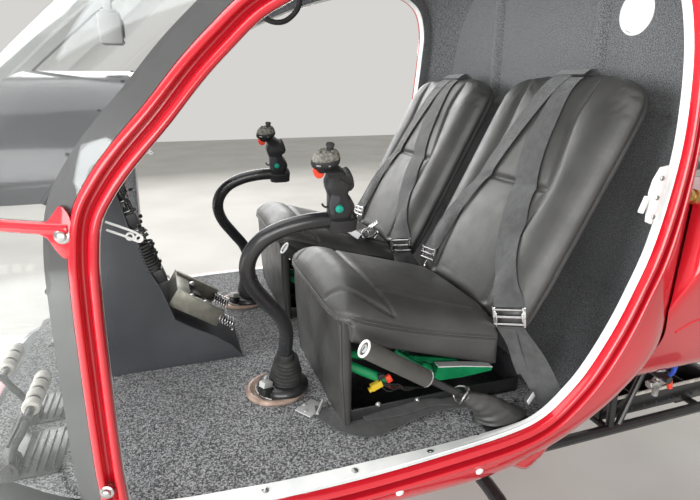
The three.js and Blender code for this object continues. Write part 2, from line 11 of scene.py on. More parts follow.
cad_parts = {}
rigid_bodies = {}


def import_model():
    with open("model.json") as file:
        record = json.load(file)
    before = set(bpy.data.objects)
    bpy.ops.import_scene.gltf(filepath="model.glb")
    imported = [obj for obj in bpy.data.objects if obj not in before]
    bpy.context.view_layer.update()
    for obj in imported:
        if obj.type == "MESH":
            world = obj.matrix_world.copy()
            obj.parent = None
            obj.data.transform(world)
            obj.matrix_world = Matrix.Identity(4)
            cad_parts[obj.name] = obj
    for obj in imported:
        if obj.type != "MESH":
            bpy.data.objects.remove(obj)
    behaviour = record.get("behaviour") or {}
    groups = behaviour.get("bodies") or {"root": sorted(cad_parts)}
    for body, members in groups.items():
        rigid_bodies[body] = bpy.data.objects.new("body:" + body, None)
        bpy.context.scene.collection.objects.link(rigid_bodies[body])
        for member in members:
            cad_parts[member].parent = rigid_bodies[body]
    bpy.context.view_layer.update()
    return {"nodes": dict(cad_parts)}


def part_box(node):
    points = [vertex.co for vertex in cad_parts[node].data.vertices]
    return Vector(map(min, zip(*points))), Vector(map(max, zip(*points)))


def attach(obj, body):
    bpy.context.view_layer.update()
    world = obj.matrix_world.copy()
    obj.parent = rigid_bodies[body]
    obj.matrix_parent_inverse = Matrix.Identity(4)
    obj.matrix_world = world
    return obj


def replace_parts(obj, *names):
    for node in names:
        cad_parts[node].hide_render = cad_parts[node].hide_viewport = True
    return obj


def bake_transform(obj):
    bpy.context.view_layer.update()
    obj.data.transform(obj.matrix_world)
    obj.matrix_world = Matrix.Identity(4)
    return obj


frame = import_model()

# Cabin coordinates: x to the nose from just behind the door's front post, y to port, z up from the carpet
COMPASS_X = 0.082
ORIGIN = Vector((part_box("compass")[0].x - COMPASS_X, 0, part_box("floor_carpet")[1].z))
X_AXIS, Y_AXIS, Z_AXIS = (1, 0, 0), (0, 1, 0), (0, 0, 1)
SIDES = (("port", 1), ("starboard", -1))
SEAT_Y = 0.330

# Camera, as the photograph was taken
EYE = Vector((0.0, 1.60, 0.80))
HEADING, TILT = math.radians(18.9), math.radians(17.25)
SENSOR, PICTURE_WIDTH, FOCAL_PIXELS = 36, 700, 526
forward = Vector((-math.sin(HEADING) * math.cos(TILT), -math.cos(HEADING) * math.cos(TILT), -math.sin(TILT)))
right = Vector((-math.cos(HEADING), math.sin(HEADING), 0))
up = right.cross(forward)
camera = bpy.data.objects.new("camera", bpy.data.cameras.new("camera"))
bpy.context.scene.collection.objects.link(camera)
camera.data.lens = SENSOR * FOCAL_PIXELS / PICTURE_WIDTH
camera.data.sensor_width = SENSOR
camera.data.clip_start = 0.02
camera.matrix_world = Matrix.Translation(EYE + ORIGIN) @ Matrix((right, up, -forward)).transposed().to_4x4()
bpy.context.scene.camera = camera


# Materials
def node(tree, kind, **values):
    """A shader node; a socket among the values is linked, any other value is set."""
    made = tree.nodes.new("ShaderNode" + kind)
    for key, value in values.items():
        if isinstance(value, bpy.types.NodeSocket):
            tree.links.new(value, made.inputs[key])
        elif hasattr(made, key):
            setattr(made, key, value)
        else:
            made.inputs[key].default_value = value
    return made


def place_of(tree, uv=False):
    return node(tree, "TexCoord").outputs["UV" if uv else "Object"]


def texture(tree, kind, scale, detail=3.0, uv=False):
    """A texture's value from 0 to 1."""
    where = place_of(tree, uv)
    if kind == "noise":
        return node(tree, "TexNoise", Vector=where, Scale=scale, Detail=detail).outputs[0]
    if kind == "cells":
        return node(tree, "TexVoronoi", Vector=where, Scale=scale).outputs["Distance"]
    if kind == "edges":
        return node(tree, "TexVoronoi", feature="DISTANCE_TO_EDGE", Vector=where,
                    Scale=scale).outputs["Distance"]
    bands = node(tree, "TexWave", Vector=where, Scale=scale, Distortion=0.0, Detail=detail,
                 bands_direction=kind)
    return bands.outputs["Fac"]


def ramp(tree, value, stops):
    """A colour ramp with its stops at the given places."""
    made = node(tree, "ValToRGB", Fac=value)
    while len(made.color_ramp.elements) < len(stops):
        made.color_ramp.elements.new(0.5)
    for element, (place, color) in zip(made.color_ramp.elements, stops):
        element.position = place
        element.color = (*color, 1) if len(color) == 3 else color
    return made.outputs[0]


def spread(tree, value, low, high, start=0.3, end=0.7):
    """Spreads a value that lies between start and end over low to high."""
    made = node(tree, "MapRange", Value=value)
    for key, number in (("From Min", start), ("From Max", end), ("To Min", low), ("To Max", high)):
        made.inputs[key].default_value = number
    return made.outputs[0]


def surface(name, dark, light, rough, blotch, bumps=(), metallic=0.0, detail=4.0, start=0.35, end=0.65,
            **sockets):
    """A finish whose colour wanders from dark to light in blotches of a given scale.

    Each bump is (texture, scale, strength, depth in metres).
    """
    made = bpy.data.materials.new(name)
    made.use_nodes = True
    tree = made.node_tree
    shader = tree.nodes["Principled BSDF"]
    colour = ramp(tree, texture(tree, "noise", blotch, detail), [(start, dark), (end, light)])
    tree.links.new(colour, shader.inputs["Base Color"])
    roughness = spread(tree, texture(tree, "noise", blotch * 2.3, 5.0), *rough)
    tree.links.new(roughness, shader.inputs["Roughness"])
    shader.inputs["Metallic"].default_value = metallic
    for key, value in sockets.items():
        shader.inputs[key.replace("_", " ")].default_value = value
    normal = None
    for kind, scale, strength, depth in bumps:
        bump = node(tree, "Bump", Height=texture(tree, kind, scale), Strength=strength, Distance=depth)
        if normal:
            tree.links.new(normal, bump.inputs["Normal"])
        normal = bump.outputs[0]
    if normal:
        tree.links.new(normal, shader.inputs["Normal"])
    return made


def grey(value):
    return (value, value, value)


RED = surface("red_gloss", (0.44, 0.005, 0.013), (0.52, 0.009, 0.020), (0.16, 0.24), 3,
              [("noise", 700, 0.05, 0.0004)], Coat_Weight=1.0, Coat_Roughness=0.04, Specular_IOR_Level=0.5)
WHITE = surface("white_enamel", (0.68, 0.69, 0.68), (0.80, 0.80, 0.78), (0.28, 0.42), 14,
                [("noise", 500, 0.08, 0.0004)])
LINING = surface("lining_carpet", (0.024, 0.025, 0.027), (0.215, 0.219, 0.224), (0.9, 1.0), 330,
                 [("noise", 520, 0.9, 0.002), ("noise", 30, 0.3, 0.004)], detail=6.0, start=0.36, end=0.68,
                 Sheen_Weight=0.25, Sheen_Roughness=0.6)
CARPET = surface("loop_carpet", (0.012, 0.013, 0.015), (0.36, 0.36, 0.365), (0.9, 1.0), 230,
                 [("cells", 330, 1.0, 0.003), ("noise", 90, 0.5, 0.004)], detail=7.0, start=0.42, end=0.62,
                 Sheen_Weight=0.2, Sheen_Roughness=0.6)
LEATHER = surface("black_leather", (0.028, 0.0275, 0.0265), (0.046, 0.045, 0.043), (0.38, 0.50), 9,
                  [("edges", 420, 0.35, 0.0006), ("noise", 900, 0.2, 0.0004), ("noise", 28, 0.25, 0.003)],
                  Specular_IOR_Level=0.8)
PANEL = surface("dark_panel", (0.038, 0.040, 0.045), (0.052, 0.054, 0.060), (0.42, 0.55), 5,
                [("noise", 650, 0.35, 0.0005)])
GLARE = surface("glare_shield", (0.050, 0.052, 0.056), (0.070, 0.072, 0.078), (0.16, 0.26), 4,
                [("noise", 160, 0.12, 0.0006)], Coat_Weight=0.6, Coat_Roughness=0.08)
TRIM = surface("grey_trim", (0.30, 0.30, 0.29), (0.38, 0.38, 0.37), (0.4, 0.5), 8,
               [("noise", 500, 0.1, 0.0004)])
BLACK = surface("black_paint", (0.010, 0.010, 0.011), (0.018, 0.018, 0.019), (0.24, 0.36), 10,
                [("noise", 420, 0.12, 0.0005)], Coat_Weight=0.3, Coat_Roughness=0.15)
PLASTIC = surface("black_plastic", (0.012, 0.012, 0.013), (0.020, 0.020, 0.021), (0.38, 0.5), 20,
                  [("noise", 900, 0.25, 0.0003)])
RUBBER = surface("black_rubber", (0.012, 0.012, 0.012), (0.026, 0.026, 0.025), (0.6, 0.75), 30,
                 [("noise", 700, 0.3, 0.0005)])
FOAM = surface("foam_sleeve", (0.050, 0.048, 0.043), (0.066, 0.063, 0.056), (0.75, 0.85), 30,
               [("cells", 900, 0.5, 0.0008), ("noise", 200, 0.3, 0.001)])
COPPER = surface("copper_ring", (0.22, 0.150, 0.115), (0.42, 0.31, 0.25), (0.35, 0.5), 24,
                 [("noise", 300, 0.2, 0.0005)], metallic=0.25)
STEEL = surface("bare_steel", (0.46, 0.46, 0.46), (0.62, 0.62, 0.61), (0.22, 0.38), 40,
                [("noise", 500, 0.12, 0.0003)], metallic=1.0)
CHROME = surface("chrome", grey(0.62), grey(0.72), (0.08, 0.16), 40, [("noise", 300, 0.05, 0.0003)],
                 metallic=1.0)
BRASS = surface("brass", (0.48, 0.30, 0.10), (0.62, 0.42, 0.16), (0.25, 0.4), 40,
                [("noise", 500, 0.1, 0.0003)], metallic=1.0)
GREEN = surface("green_enamel", (0.008, 0.20, 0.075), (0.012, 0.27, 0.10), (0.25, 0.35), 12,
                [("noise", 400, 0.08, 0.0004)], Coat_Weight=0.4)
SLEEVE = surface("pale_sleeve", (0.40, 0.38, 0.34), (0.58, 0.56, 0.51), (0.5, 0.65), 50,
                 [("noise", 600, 0.3, 0.0005)])
RED_KNOB = surface("red_knob", (0.70, 0.045, 0.020), (0.80, 0.075, 0.030), (0.3, 0.4), 60,
                   [("noise", 900, 0.1, 0.0002)])
GREEN_KNOB = surface("green_knob", (0.006, 0.22, 0.16), (0.010, 0.30, 0.22), (0.3, 0.4), 60,
                     [("noise", 900, 0.1, 0.0002)])
YELLOW = surface("yellow_part", (0.62, 0.42, 0.02), (0.72, 0.50, 0.04), (0.35, 0.5), 60,
                 [("noise", 900, 0.1, 0.0002)])
BLUE = surface("blue_handle", (0.02, 0.06, 0.42), (0.03, 0.09, 0.52), (0.35, 0.5), 60,
               [("noise", 900, 0.1, 0.0002)])


def woven(name, dark, light):
    """Webbing: ribs across the strap from its UV, which is in millimetres."""
    made = surface(name, dark, light, (0.5, 0.65), 40, Sheen_Weight=0.3, Sheen_Roughness=0.4)
    tree = made.node_tree
    ribs = texture(tree, "Y", 0.16, 0, uv=True)
    twill = texture(tree, "DIAGONAL", 0.22, 0, uv=True)
    first = node(tree, "Bump", Height=ribs, Strength=0.7, Distance=0.0006)
    second = node(tree, "Bump", Height=twill, Strength=0.5, Distance=0.0005, Normal=first.outputs[0])
    tree.links.new(second.outputs[0], tree.nodes["Principled BSDF"].inputs["Normal"])
    return made


WEBBING = woven("black_webbing", grey(0.040), grey(0.062))


def acrylic():
    """Thin clear sheet: what isn't reflected goes straight through."""
    made = surface("clear_acrylic", (0.66, 0.70, 0.71), (0.72, 0.76, 0.76), (0.03, 0.07), 5, metallic=1.0)
    tree = made.node_tree
    facing = node(tree, "LayerWeight", Blend=0.5).outputs["Facing"]
    tree.links.new(spread(tree, facing, 0.08, 0.55, 0.45, 1.0), tree.nodes["Principled BSDF"].inputs["Alpha"])
    return made


ACRYLIC = acrylic()


# Geometry
def turns(count, start=0.0):
    """Angles evenly spread over a full turn."""
    return [2 * math.pi * (k + start) / count for k in range(count)]


def signed_power(value, power):
    return math.copysign(abs(value) ** power, value)


class Shape:
    """Collects points and faces in cabin coordinates, then makes one piece of them."""

    def __init__(self):
        self.points, self.faces, self.uv = [], [], {}

    def add(self, points, faces):
        start = len(self.points)
        self.points += [Vector(p) for p in points]
        self.faces += [tuple(start + i for i in face) for face in faces]
        return start

    def rings(self, rings, around=True, caps=True, closed=False):
        """Quads through rows of points; around closes each row, closed joins the last row to the first."""
        count = len(rings[0])
        rows = len(rings) if closed else len(rings) - 1
        faces = []
        for i in range(rows):
            a, b = i * count, (i + 1) % len(rings) * count
            for j in range(count if around else count - 1):
                k = (j + 1) % count
                faces.append((a + j, a + k, b + k, b + j))
        if caps and around and not closed:
            faces.append(tuple(reversed(range(count))))
            faces.append(tuple(range((len(rings) - 1) * count, len(rings) * count)))
        return self.add([p for ring in rings for p in ring], faces)

    def tube(self, path, radius, sides=12, closed=False, side=None):
        """A rod along a path; radius is one number or one for each point, side points to its first corner."""
        path = [Vector(p) for p in path]
        radii = radius if isinstance(radius, (list, tuple)) else [radius] * len(path)
        across = Vector(side) if side else None
        rings = []
        for i, p in enumerate(path):
            before = path[i - 1] if i or closed else path[0]
            after = path[(i + 1) % len(path)] if i < len(path) - 1 or closed else path[-1]
            along = (after - before).normalized()
            if across is None:
                across = Vector((0, 0, 1)) if abs(along.z) < 0.9 else Vector((1, 0, 0))
            across = (across - along * across.dot(along)).normalized()
            other = along.cross(across)
            rings.append([p + across * (radii[i] * math.cos(a)) + other * (radii[i] * math.sin(a))
                          for a in turns(sides, 0.5)])
        return self.rings(rings, closed=closed)

    def turned(self, profile, centre, axis=Z_AXIS, sides=24):
        """Profile of (radius, height) turned about an axis through centre."""
        axis = Vector(axis).normalized()
        across = axis.orthogonal().normalized()
        other = axis.cross(across)
        rings = [[Vector(centre) + axis * h + (across * math.cos(a) + other * math.sin(a)) * r
                  for a in turns(sides)] for r, h in profile]
        return self.rings(rings)

    def block(self, centre, size, axes=None, bevel=0.0):
        """A box with its twelve edges bevelled; axes are its own X, Y and Z."""
        axes = [Vector(a).normalized() for a in axes or (X_AXIS, Y_AXIS, Z_AXIS)]
        mesh = bmesh.new()
        bmesh.ops.create_cube(mesh, size=1.0)
        for v in mesh.verts:
            v.co = Vector(a * b for a, b in zip(v.co, size))
        if bevel:
            bmesh.ops.bevel(mesh, geom=mesh.edges[:], offset=bevel, segments=2, affect="EDGES", profile=0.5)
        mesh.verts.index_update()
        self.add([Vector(centre) + axes[0] * v.co.x + axes[1] * v.co.y + axes[2] * v.co.z
                  for v in mesh.verts], [[v.index for v in face.verts] for face in mesh.faces])
        mesh.free()

    def screw(self, centre, axis, radius, height):
        """A domed screw head with a recess."""
        self.turned([(radius, -0.001), (radius, height * 0.4), (radius * 0.8, height * 0.85),
                     (radius * 0.45, height), (radius * 0.38, height * 0.45), (0.0002, height * 0.35)],
                    centre, axis, 14)

    def nut(self, centre, axis, radius, height):
        """A six-sided nut with its top edge rounded."""
        self.turned([(radius * 0.2, -0.0002), (radius, -0.0002), (radius, height * 0.8),
                     (radius * 0.86, height), (radius * 0.1, height)], centre, axis, 6)

    def piece(self, name, finish, body="cabin", smooth=40, replaces=None, slot=None, ride=True, bevel=0.0):
        """Makes an object of the shape, on a body and with the CAD node it stands for."""
        mesh = bpy.data.meshes.new(name)
        mesh.from_pydata([tuple(p + ORIGIN) for p in self.points], [], self.faces)
        mesh.update()
        work = bmesh.new()
        work.from_mesh(mesh)
        bmesh.ops.recalc_face_normals(work, faces=work.faces)
        if self.uv:
            layer = work.loops.layers.uv.new("UVMap")
            work.verts.ensure_lookup_table()
            for face in work.faces:
                for loop in face.loops:
                    if loop.vert.index in self.uv:
                        loop[layer].uv = self.uv[loop.vert.index]
        work.to_mesh(mesh)
        work.free()
        made = bpy.data.objects.new(name, mesh)
        bpy.context.scene.collection.objects.link(made)
        mesh.materials.append(finish)
        if bevel:
            rounded = made.modifiers.new("bevel", "BEVEL")
            rounded.width, rounded.segments, rounded.limit_method = bevel, 2, "ANGLE"
            settle(made)
        shade(made, smooth)
        if ride:
            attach(made, body)
        if replaces:
            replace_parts(made, replaces)
        return made


def settle(made):
    """Applies a piece's modifiers."""
    graph = bpy.context.evaluated_depsgraph_get()
    mesh = bpy.data.meshes.new_from_object(made.evaluated_get(graph))
    made.modifiers.clear()
    made.data = mesh
    return made


def shade(made, angle):
    """Smooth shading, with edges kept that are sharper than angle degrees."""
    mesh = made.data
    mesh.shade_smooth()
    work = bmesh.new()
    work.from_mesh(mesh)
    for edge in work.edges:
        edge.smooth = len(edge.link_faces) != 2 or edge.calc_face_angle() < math.radians(angle)
    work.to_mesh(mesh)
    work.free()


def soften(made):
    """One round of subdivision."""
    modifier = made.modifiers.new("soften", "SUBSURF")
    modifier.levels = modifier.render_levels = 1
    return settle(made)


def smooth_path(points, steps=8, closed=False):
    """A centripetal Catmull-Rom curve through points."""
    points = [Vector(p) for p in points]
    last = len(points) - 1
    out = []
    for i in range(len(points) if closed else last):
        ids = [(i + k) % len(points) if closed else min(max(i + k, 0), last) for k in (-1, 0, 1, 2)]
        p = [points[k] for k in ids]
        gaps = [max((b - a).length ** 0.5, 1e-5) for a, b in zip(p, p[1:])]
        start = ((p[1] - p[0]) / gaps[0] - (p[2] - p[0]) / (gaps[0] + gaps[1])
                 + (p[2] - p[1]) / gaps[1]) * gaps[1]
        end = ((p[2] - p[1]) / gaps[1] - (p[3] - p[1]) / (gaps[1] + gaps[2])
               + (p[3] - p[2]) / gaps[2]) * gaps[1]
        if not closed and i == 0:
            start = p[2] - p[1]
        if not closed and i == last - 1:
            end = p[2] - p[1]
        for s in range(steps):
            t = s / steps
            out.append(p[1] * (2 * t ** 3 - 3 * t ** 2 + 1) + start * (t ** 3 - 2 * t ** 2 + t)
                       + p[2] * (3 * t ** 2 - 2 * t ** 3) + end * (t ** 3 - t ** 2))
    if not closed:
        out.append(points[-1])
    return out


def flat_curve(points, steps, closed=True):
    """The same curve through points of a plane."""
    return [(p.x, p.y) for p in smooth_path([(a, b, 0) for a, b in points], steps, closed)]


def rounded(points, reach, steps):
    """A path whose corners are rounded, starting the given distance before each corner."""
    points = [Vector(p) for p in points]
    out = [points[0]]
    for before, corner, after in zip(points, points[1:], points[2:]):
        a = corner + (before - corner).normalized() * min(reach, (before - corner).length * 0.48)
        b = corner + (after - corner).normalized() * min(reach, (after - corner).length * 0.48)
        out += [a * (1 - t) ** 2 + corner * (2 * t * (1 - t)) + b * t ** 2
                for t in (s / steps for s in range(steps + 1))]
    return out + [points[-1]]


# Hull sections: x, half width, roof height, belly height, height of the widest point
HULL = np.array([(-1.270, 0.600, 1.235, 0.235, 0.600), (-1.200, 0.672, 1.290, 0.160, 0.560),
                 (-1.130, 0.722, 1.325, 0.090, 0.510), (-1.030, 0.742, 1.350, 0.010, 0.470),
                 (-0.900, 0.750, 1.366, -0.070, 0.450), (-0.740, 0.755, 1.370, -0.130, 0.450),
                 (-0.400, 0.755, 1.325, -0.150, 0.450), (-0.100, 0.747, 1.190, -0.150, 0.440),
                 (0.163, 0.703, 1.003, -0.145, 0.420), (0.300, 0.630, 0.885, -0.125, 0.390),
                 (0.450, 0.540, 0.748, -0.085, 0.360), (0.600, 0.430, 0.610, -0.030, 0.330),
                 (0.750, 0.280, 0.460, 0.060, 0.290), (0.830, 0.160, 0.375, 0.140, 0.270),
                 (0.860, 0.060, 0.310, 0.220, 0.265)])
ABOVE, BELOW = 3, 10  # superellipse exponents above and below the widest point
MIDDLE = -0.200  # the hull's skins shrink towards this x
SKIN, GLASS_OUT, GLASS_IN = 0.010, 0.002, 0.006  # depths below the hull's form
slopes = np.gradient(HULL[:, 1:], HULL[:, 0], axis=0)


def station(x):
    """Half width, top, bottom and waist, smooth from row to row."""
    x = min(max(x, HULL[0, 0]), HULL[-1, 0])
    i = int(min(max(np.searchsorted(HULL[:, 0], x) - 1, 0), len(HULL) - 2))
    length = HULL[i + 1, 0] - HULL[i, 0]
    t = (x - HULL[i, 0]) / length
    return ((2 * t ** 3 - 3 * t ** 2 + 1) * HULL[i, 1:] + (t ** 3 - 2 * t ** 2 + t) * length * slopes[i]
            + (3 * t ** 2 - 2 * t ** 3) * HULL[i + 1, 1:] + (t ** 3 - t ** 2) * length * slopes[i + 1])


def half_width(x, z):
    """Distance of the hull's side from the middle plane."""
    width, top, bottom, waist = station(x)
    r = (z - waist) / (top - waist) if z > waist else (waist - z) / (waist - bottom)
    n = ABOVE if z > waist else BELOW
    return width * (1 - min(r, 0.999) ** n) ** (1 / n)


def hull_ring(x, inset, count=112):
    """The hull's section at x, with x left at 0."""
    width, top, bottom, waist = station(x)
    ring = []
    for angle in turns(count, 0.5):
        c, s = math.cos(angle), math.sin(angle)
        n = ABOVE if s > 0 else BELOW
        height = (top - waist if s > 0 else waist - bottom) - inset
        ring.append(Vector((0, signed_power(c, 2 / n) * (width - inset),
                            waist + signed_power(s, 2 / n) * height)))
    return ring


def steeper(x):
    """How much more a skin takes up across the hull where its aft end tapers."""
    return 1 + 0.45 * min(max((-1.05 - x) / 0.1, 0), 1)


def hull_solid(inset, open_aft=False):
    """The hull's closed form, made smaller by an inset and left open aft for the inner skins."""
    xs = sorted(set(np.linspace(-1.27, 0.6, 50).tolist() + np.linspace(0.62, 0.86, 16).tolist()))
    made = Shape()
    rings = []
    for x in xs:
        reach = abs((HULL[-1, 0] if x > MIDDLE else HULL[0, 0]) - MIDDLE)
        if open_aft and x < MIDDLE:
            rings.append([p + Vector((x, 0, 0)) for p in hull_ring(x, inset * steeper(x))])
        else:
            rings.append([p + Vector((MIDDLE + (x - MIDDLE) * (1 - inset / reach), 0, 0))
                          for p in hull_ring(x, inset)])
    if open_aft:
        rings.insert(0, [p - Vector((0.02, 0, 0)) for p in rings[0]])
    made.rings(rings)
    return made


def bare(shape, name="cutter"):
    """A plain object of a shape, for cutting."""
    mesh = bpy.data.meshes.new(name)
    mesh.from_pydata([tuple(p + ORIGIN) for p in shape.points], [], shape.faces)
    work = bmesh.new()
    work.from_mesh(mesh)
    bmesh.ops.recalc_face_normals(work, faces=work.faces)
    work.to_mesh(mesh)
    work.free()
    made = bpy.data.objects.new(name, mesh)
    bpy.context.scene.collection.objects.link(made)
    return made


def carve(made, *steps):
    """Boolean steps on an object: ("DIFFERENCE" or "INTERSECT" or "UNION", other object)."""
    for operation, other in steps:
        modifier = made.modifiers.new("carve", "BOOLEAN")
        modifier.operation, modifier.object, modifier.solver = operation, other, "MANIFOLD"
        settle(made)
    return made


def copy_of(made, name):
    twin = bpy.data.objects.new(name, made.data.copy())
    bpy.context.scene.collection.objects.link(twin)
    return twin


def drop(*objects):
    for one in objects:
        bpy.data.objects.remove(one)


def paint(made, *finishes):
    """Gives an object its materials; every face gets the first."""
    made.data.materials.clear()
    for finish in finishes:
        made.data.materials.append(finish)
    for face in made.data.polygons:
        face.material_index = 0


def region(x0, x1, y0, y1, z0, z1):
    """A box between limits, for cutting."""
    made = Shape()
    made.block(((x0 + x1) / 2, (y0 + y1) / 2, (z0 + z1) / 2), (x1 - x0, y1 - y0, z1 - z0))
    return bare(made)


# Door openings
DOOR_EDGE = [  # x and z, in millimetres
    (126, 20), (134, 90), (134, 200), (131, 330), (127, 450), (121, 535), (109, 594), (84, 637), (52, 678),
    (-7, 742), (-66, 810), (-112, 856), (-165, 904), (-221, 937), (-370, 1022), (-540, 1092), (-710, 1138),
    (-860, 1153), (-980, 1142), (-1055, 1096), (-1094, 1015), (-1102, 912), (-1099, 781), (-1090, 643),
    (-1048, 435), (-1007, 340), (-958, 243), (-895, 147), (-851, 101), (-800, 59), (-755, 38), (-694, 26),
    (-528, 11), (-367, 0), (-200, -2), (0, -2), (90, -2),
]
door_curve = smooth_path([(x / 1000, 0, z / 1000) for x, z in DOOR_EDGE], 10, True)


def door_line(outwards):
    """The door opening's edge moved outwards, as x and z."""
    count = len(door_curve)
    line = []
    for i, p in enumerate(door_curve):
        along = (door_curve[(i + 1) % count] - door_curve[i - 1]).normalized()
        line.append((p.x + along.z * outwards, p.z - along.x * outwards))
    return line


def side_band(section, sign):
    """Rings round the door opening; section lists outwards and height over the hull's side."""
    made = Shape()
    lines = {outwards: door_line(outwards) for outwards, _ in section}
    rings = []
    for i in range(len(door_curve)):
        points = [(*lines[outwards][i], height) for outwards, height in section]
        rings.append([(x, sign * (half_width(x, z) + height), z) for x, z, height in points])
    made.rings(rings, caps=False, closed=True)
    return made


DOOR_CUT = 0.0483  # how far the hull's skins stop outside the opening
hole = Shape()
hole.rings([[(x, y, z) for x, z in door_line(DOOR_CUT)] for y in (-1, 1)])
door_hole = bare(hole)

outer, inner = bare(hull_solid(0)), bare(hull_solid(SKIN, True))
shell = carve(copy_of(outer, "shell"), ("DIFFERENCE", inner), ("DIFFERENCE", door_hole))
glass_out, glass_in = bare(hull_solid(GLASS_OUT)), bare(hull_solid(GLASS_IN, True))
glazing = carve(copy_of(glass_out, "glazing"), ("DIFFERENCE", glass_in), ("DIFFERENCE", door_hole))

# Where the skins part: z of the belly's joint, x of the nose, z of the nose bar, x of the roof, half the keel
JOINT, NOSE, BAR_LOW, BAR_HIGH, ROOF, KEEL = -0.048, 0.100, 0.574, 0.596, -0.330, 0.060
FAR, GAP = 2, 0.0003
EYES_Z = 0.45  # height of the cabin's middle, to tell a skin's inner side


def shell_piece(source, name, finish, slot, replaces, *steps, lining=None):
    """Cuts a piece from a shell; faces that look inwards get the lining."""
    made = carve(copy_of(source, name), *[(how, region(*limits)) for how, limits in steps])
    paint(made, *([finish, lining] if lining else [finish]))
    if lining:
        for face in made.data.polygons:
            place = face.center - ORIGIN
            away = Vector((0.25 * (place.x - MIDDLE), place.y, place.z - EYES_Z))
            face.material_index = 1 if face.normal.dot(away) < 0 else 0
    shade(made, 35)
    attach(made, "cabin")
    if replaces:
        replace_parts(made, replaces)


def below(z):
    return (-FAR, FAR, -FAR, FAR, -FAR, z)


def ahead_above(x, z):
    return (x, FAR, -FAR, FAR, z, FAR)


shell_piece(shell, "belly_skin", RED, "red_paint", "belly_shell", ("INTERSECT", below(JOINT - GAP)),
            lining=PANEL)
shell_piece(shell, "upper_skin", RED, "red_paint", "upper_shell", ("INTERSECT", ahead_above(-FAR, JOINT)),
            ("DIFFERENCE", ahead_above(ROOF, BAR_LOW)), ("DIFFERENCE", ahead_above(NOSE, JOINT - 0.01)),
            lining=LINING)
shell_piece(glazing, "windscreen_sheet", ACRYLIC, "acrylic", "windscreen",
            ("INTERSECT", ahead_above(ROOF + GAP, BAR_HIGH)))
for side, sign in SIDES:
    ys = sorted((sign * (KEEL + GAP), sign * FAR))
    shell_piece(glazing, f"chin_sheet_{side}", ACRYLIC, "acrylic", f"chin_window_{side}",
                ("INTERSECT", (NOSE, FAR, *ys, JOINT + GAP, BAR_LOW)))
shell_piece(shell, "nose_skin", RED, "red_paint", None,
            ("INTERSECT", (NOSE, FAR, -KEEL, KEEL, JOINT, BAR_HIGH - 0.0005)))

# Round bar across the nose between windscreen and chin windows, with its webs and bolts
BAR_Z, BAR_START, BAR_RADIUS = (BAR_LOW + BAR_HIGH) / 2, 0.158, 0.0108
BAR_WEB = [(0.210, 0.5915), (0.192, 0.597), (0.180, 0.610), (0.168, 0.622), (0.156, 0.606), (0.158, 0.560),
           (0.170, 0.538), (0.184, 0.552), (0.194, 0.570), (0.210, 0.5785)]
BAR_BOLTS = ((0.170, 0.5750), (0.166, 0.086))
BAR_BOLT = [(0.0002, -0.004), (0.0125, -0.004), (0.0130, 0.0030), (0.0110, 0.0045), (0.0085, 0.0048),
            (0.0082, 0.0100), (0.0060, 0.0118), (0.0002, 0.0120)]


def inside_hull(x, z):
    _, top, bottom, _ = station(x)
    return bottom < z < top and half_width(x, z) > 0.10


def nose_bar():
    bar, bolts = Shape(), Shape()
    line = [(x, half_width(x, BAR_Z) - 0.0045, BAR_Z) for x in np.linspace(BAR_START, 0.80, 90)
            if inside_hull(x, BAR_Z)]
    end_x, end_y = line[-1][:2]
    line += [(end_x + 0.036 * math.sin(a), end_y * math.cos(a), BAR_Z)
             for a in np.linspace(0.15, math.pi / 2, 9)]
    bar.tube(smooth_path(line + [(x, -y, z) for x, y, z in reversed(line[:-1])], 2), BAR_RADIUS, 18)
    web = flat_curve(BAR_WEB, 3)
    for side, sign in SIDES:
        bar.rings([[(x, sign * (half_width(x, z) + lift), z) for x, z in web]
                   for lift in (-0.012, 0.0005, 0.0030)])
        for x, z in BAR_BOLTS:
            bolts.turned(BAR_BOLT, (x, sign * (half_width(x, z) + 0.001), z), (0.25, sign, 0.08), 20)
    bar.piece("nose_bar", RED, replaces="nose_frame", slot="red_paint", smooth=50, bevel=0.0015)
    bolts.piece("nose_bolts", STEEL, slot="steel")


nose_bar()

# Rear bulkhead lined with carpet, with its raised ridges and round access hole
BULKHEAD_FRONT, BULKHEAD_REAR = -1.240, -1.250
RIDGE_X = BULKHEAD_FRONT - 0.0002
HOLE_Y, HOLE_Z, HOLE_RADIUS = 0.381, 0.992, 0.052
HOLE_RIM = [(0.0515, -0.0110), (0.0515, 0.0010), (0.0545, 0.0022), (0.0580, 0.0012), (0.0580, -0.0004)]
RIDGE_Y, RIDGE_LOW, RIDGE_HIGH, SHELF_HALF = 0.262, 0.745, 1.20, 0.60
RIDGE = ((0, -0.030), (0.010, -0.022), (0.016, -0.010), (0.016, 0.010), (0.010, 0.022), (0, 0.030))
SHELF = ((0, -0.020), (0.010, -0.012), (0.012, 0.0), (0.008, 0.012), (0, 0.020))


def bulkhead_row(x, whole):
    """The lining's outline, or the hole's, point for point."""
    row = []
    for p in hull_ring(x, 0.0103 * steeper(x), 160):
        if not whole:
            away = Vector((0, p.y - HOLE_Y, p.z - HOLE_Z)).normalized() * HOLE_RADIUS
            p = Vector((0, HOLE_Y + away.y, HOLE_Z + away.z))
        row.append((x, p.y, p.z))
    return row


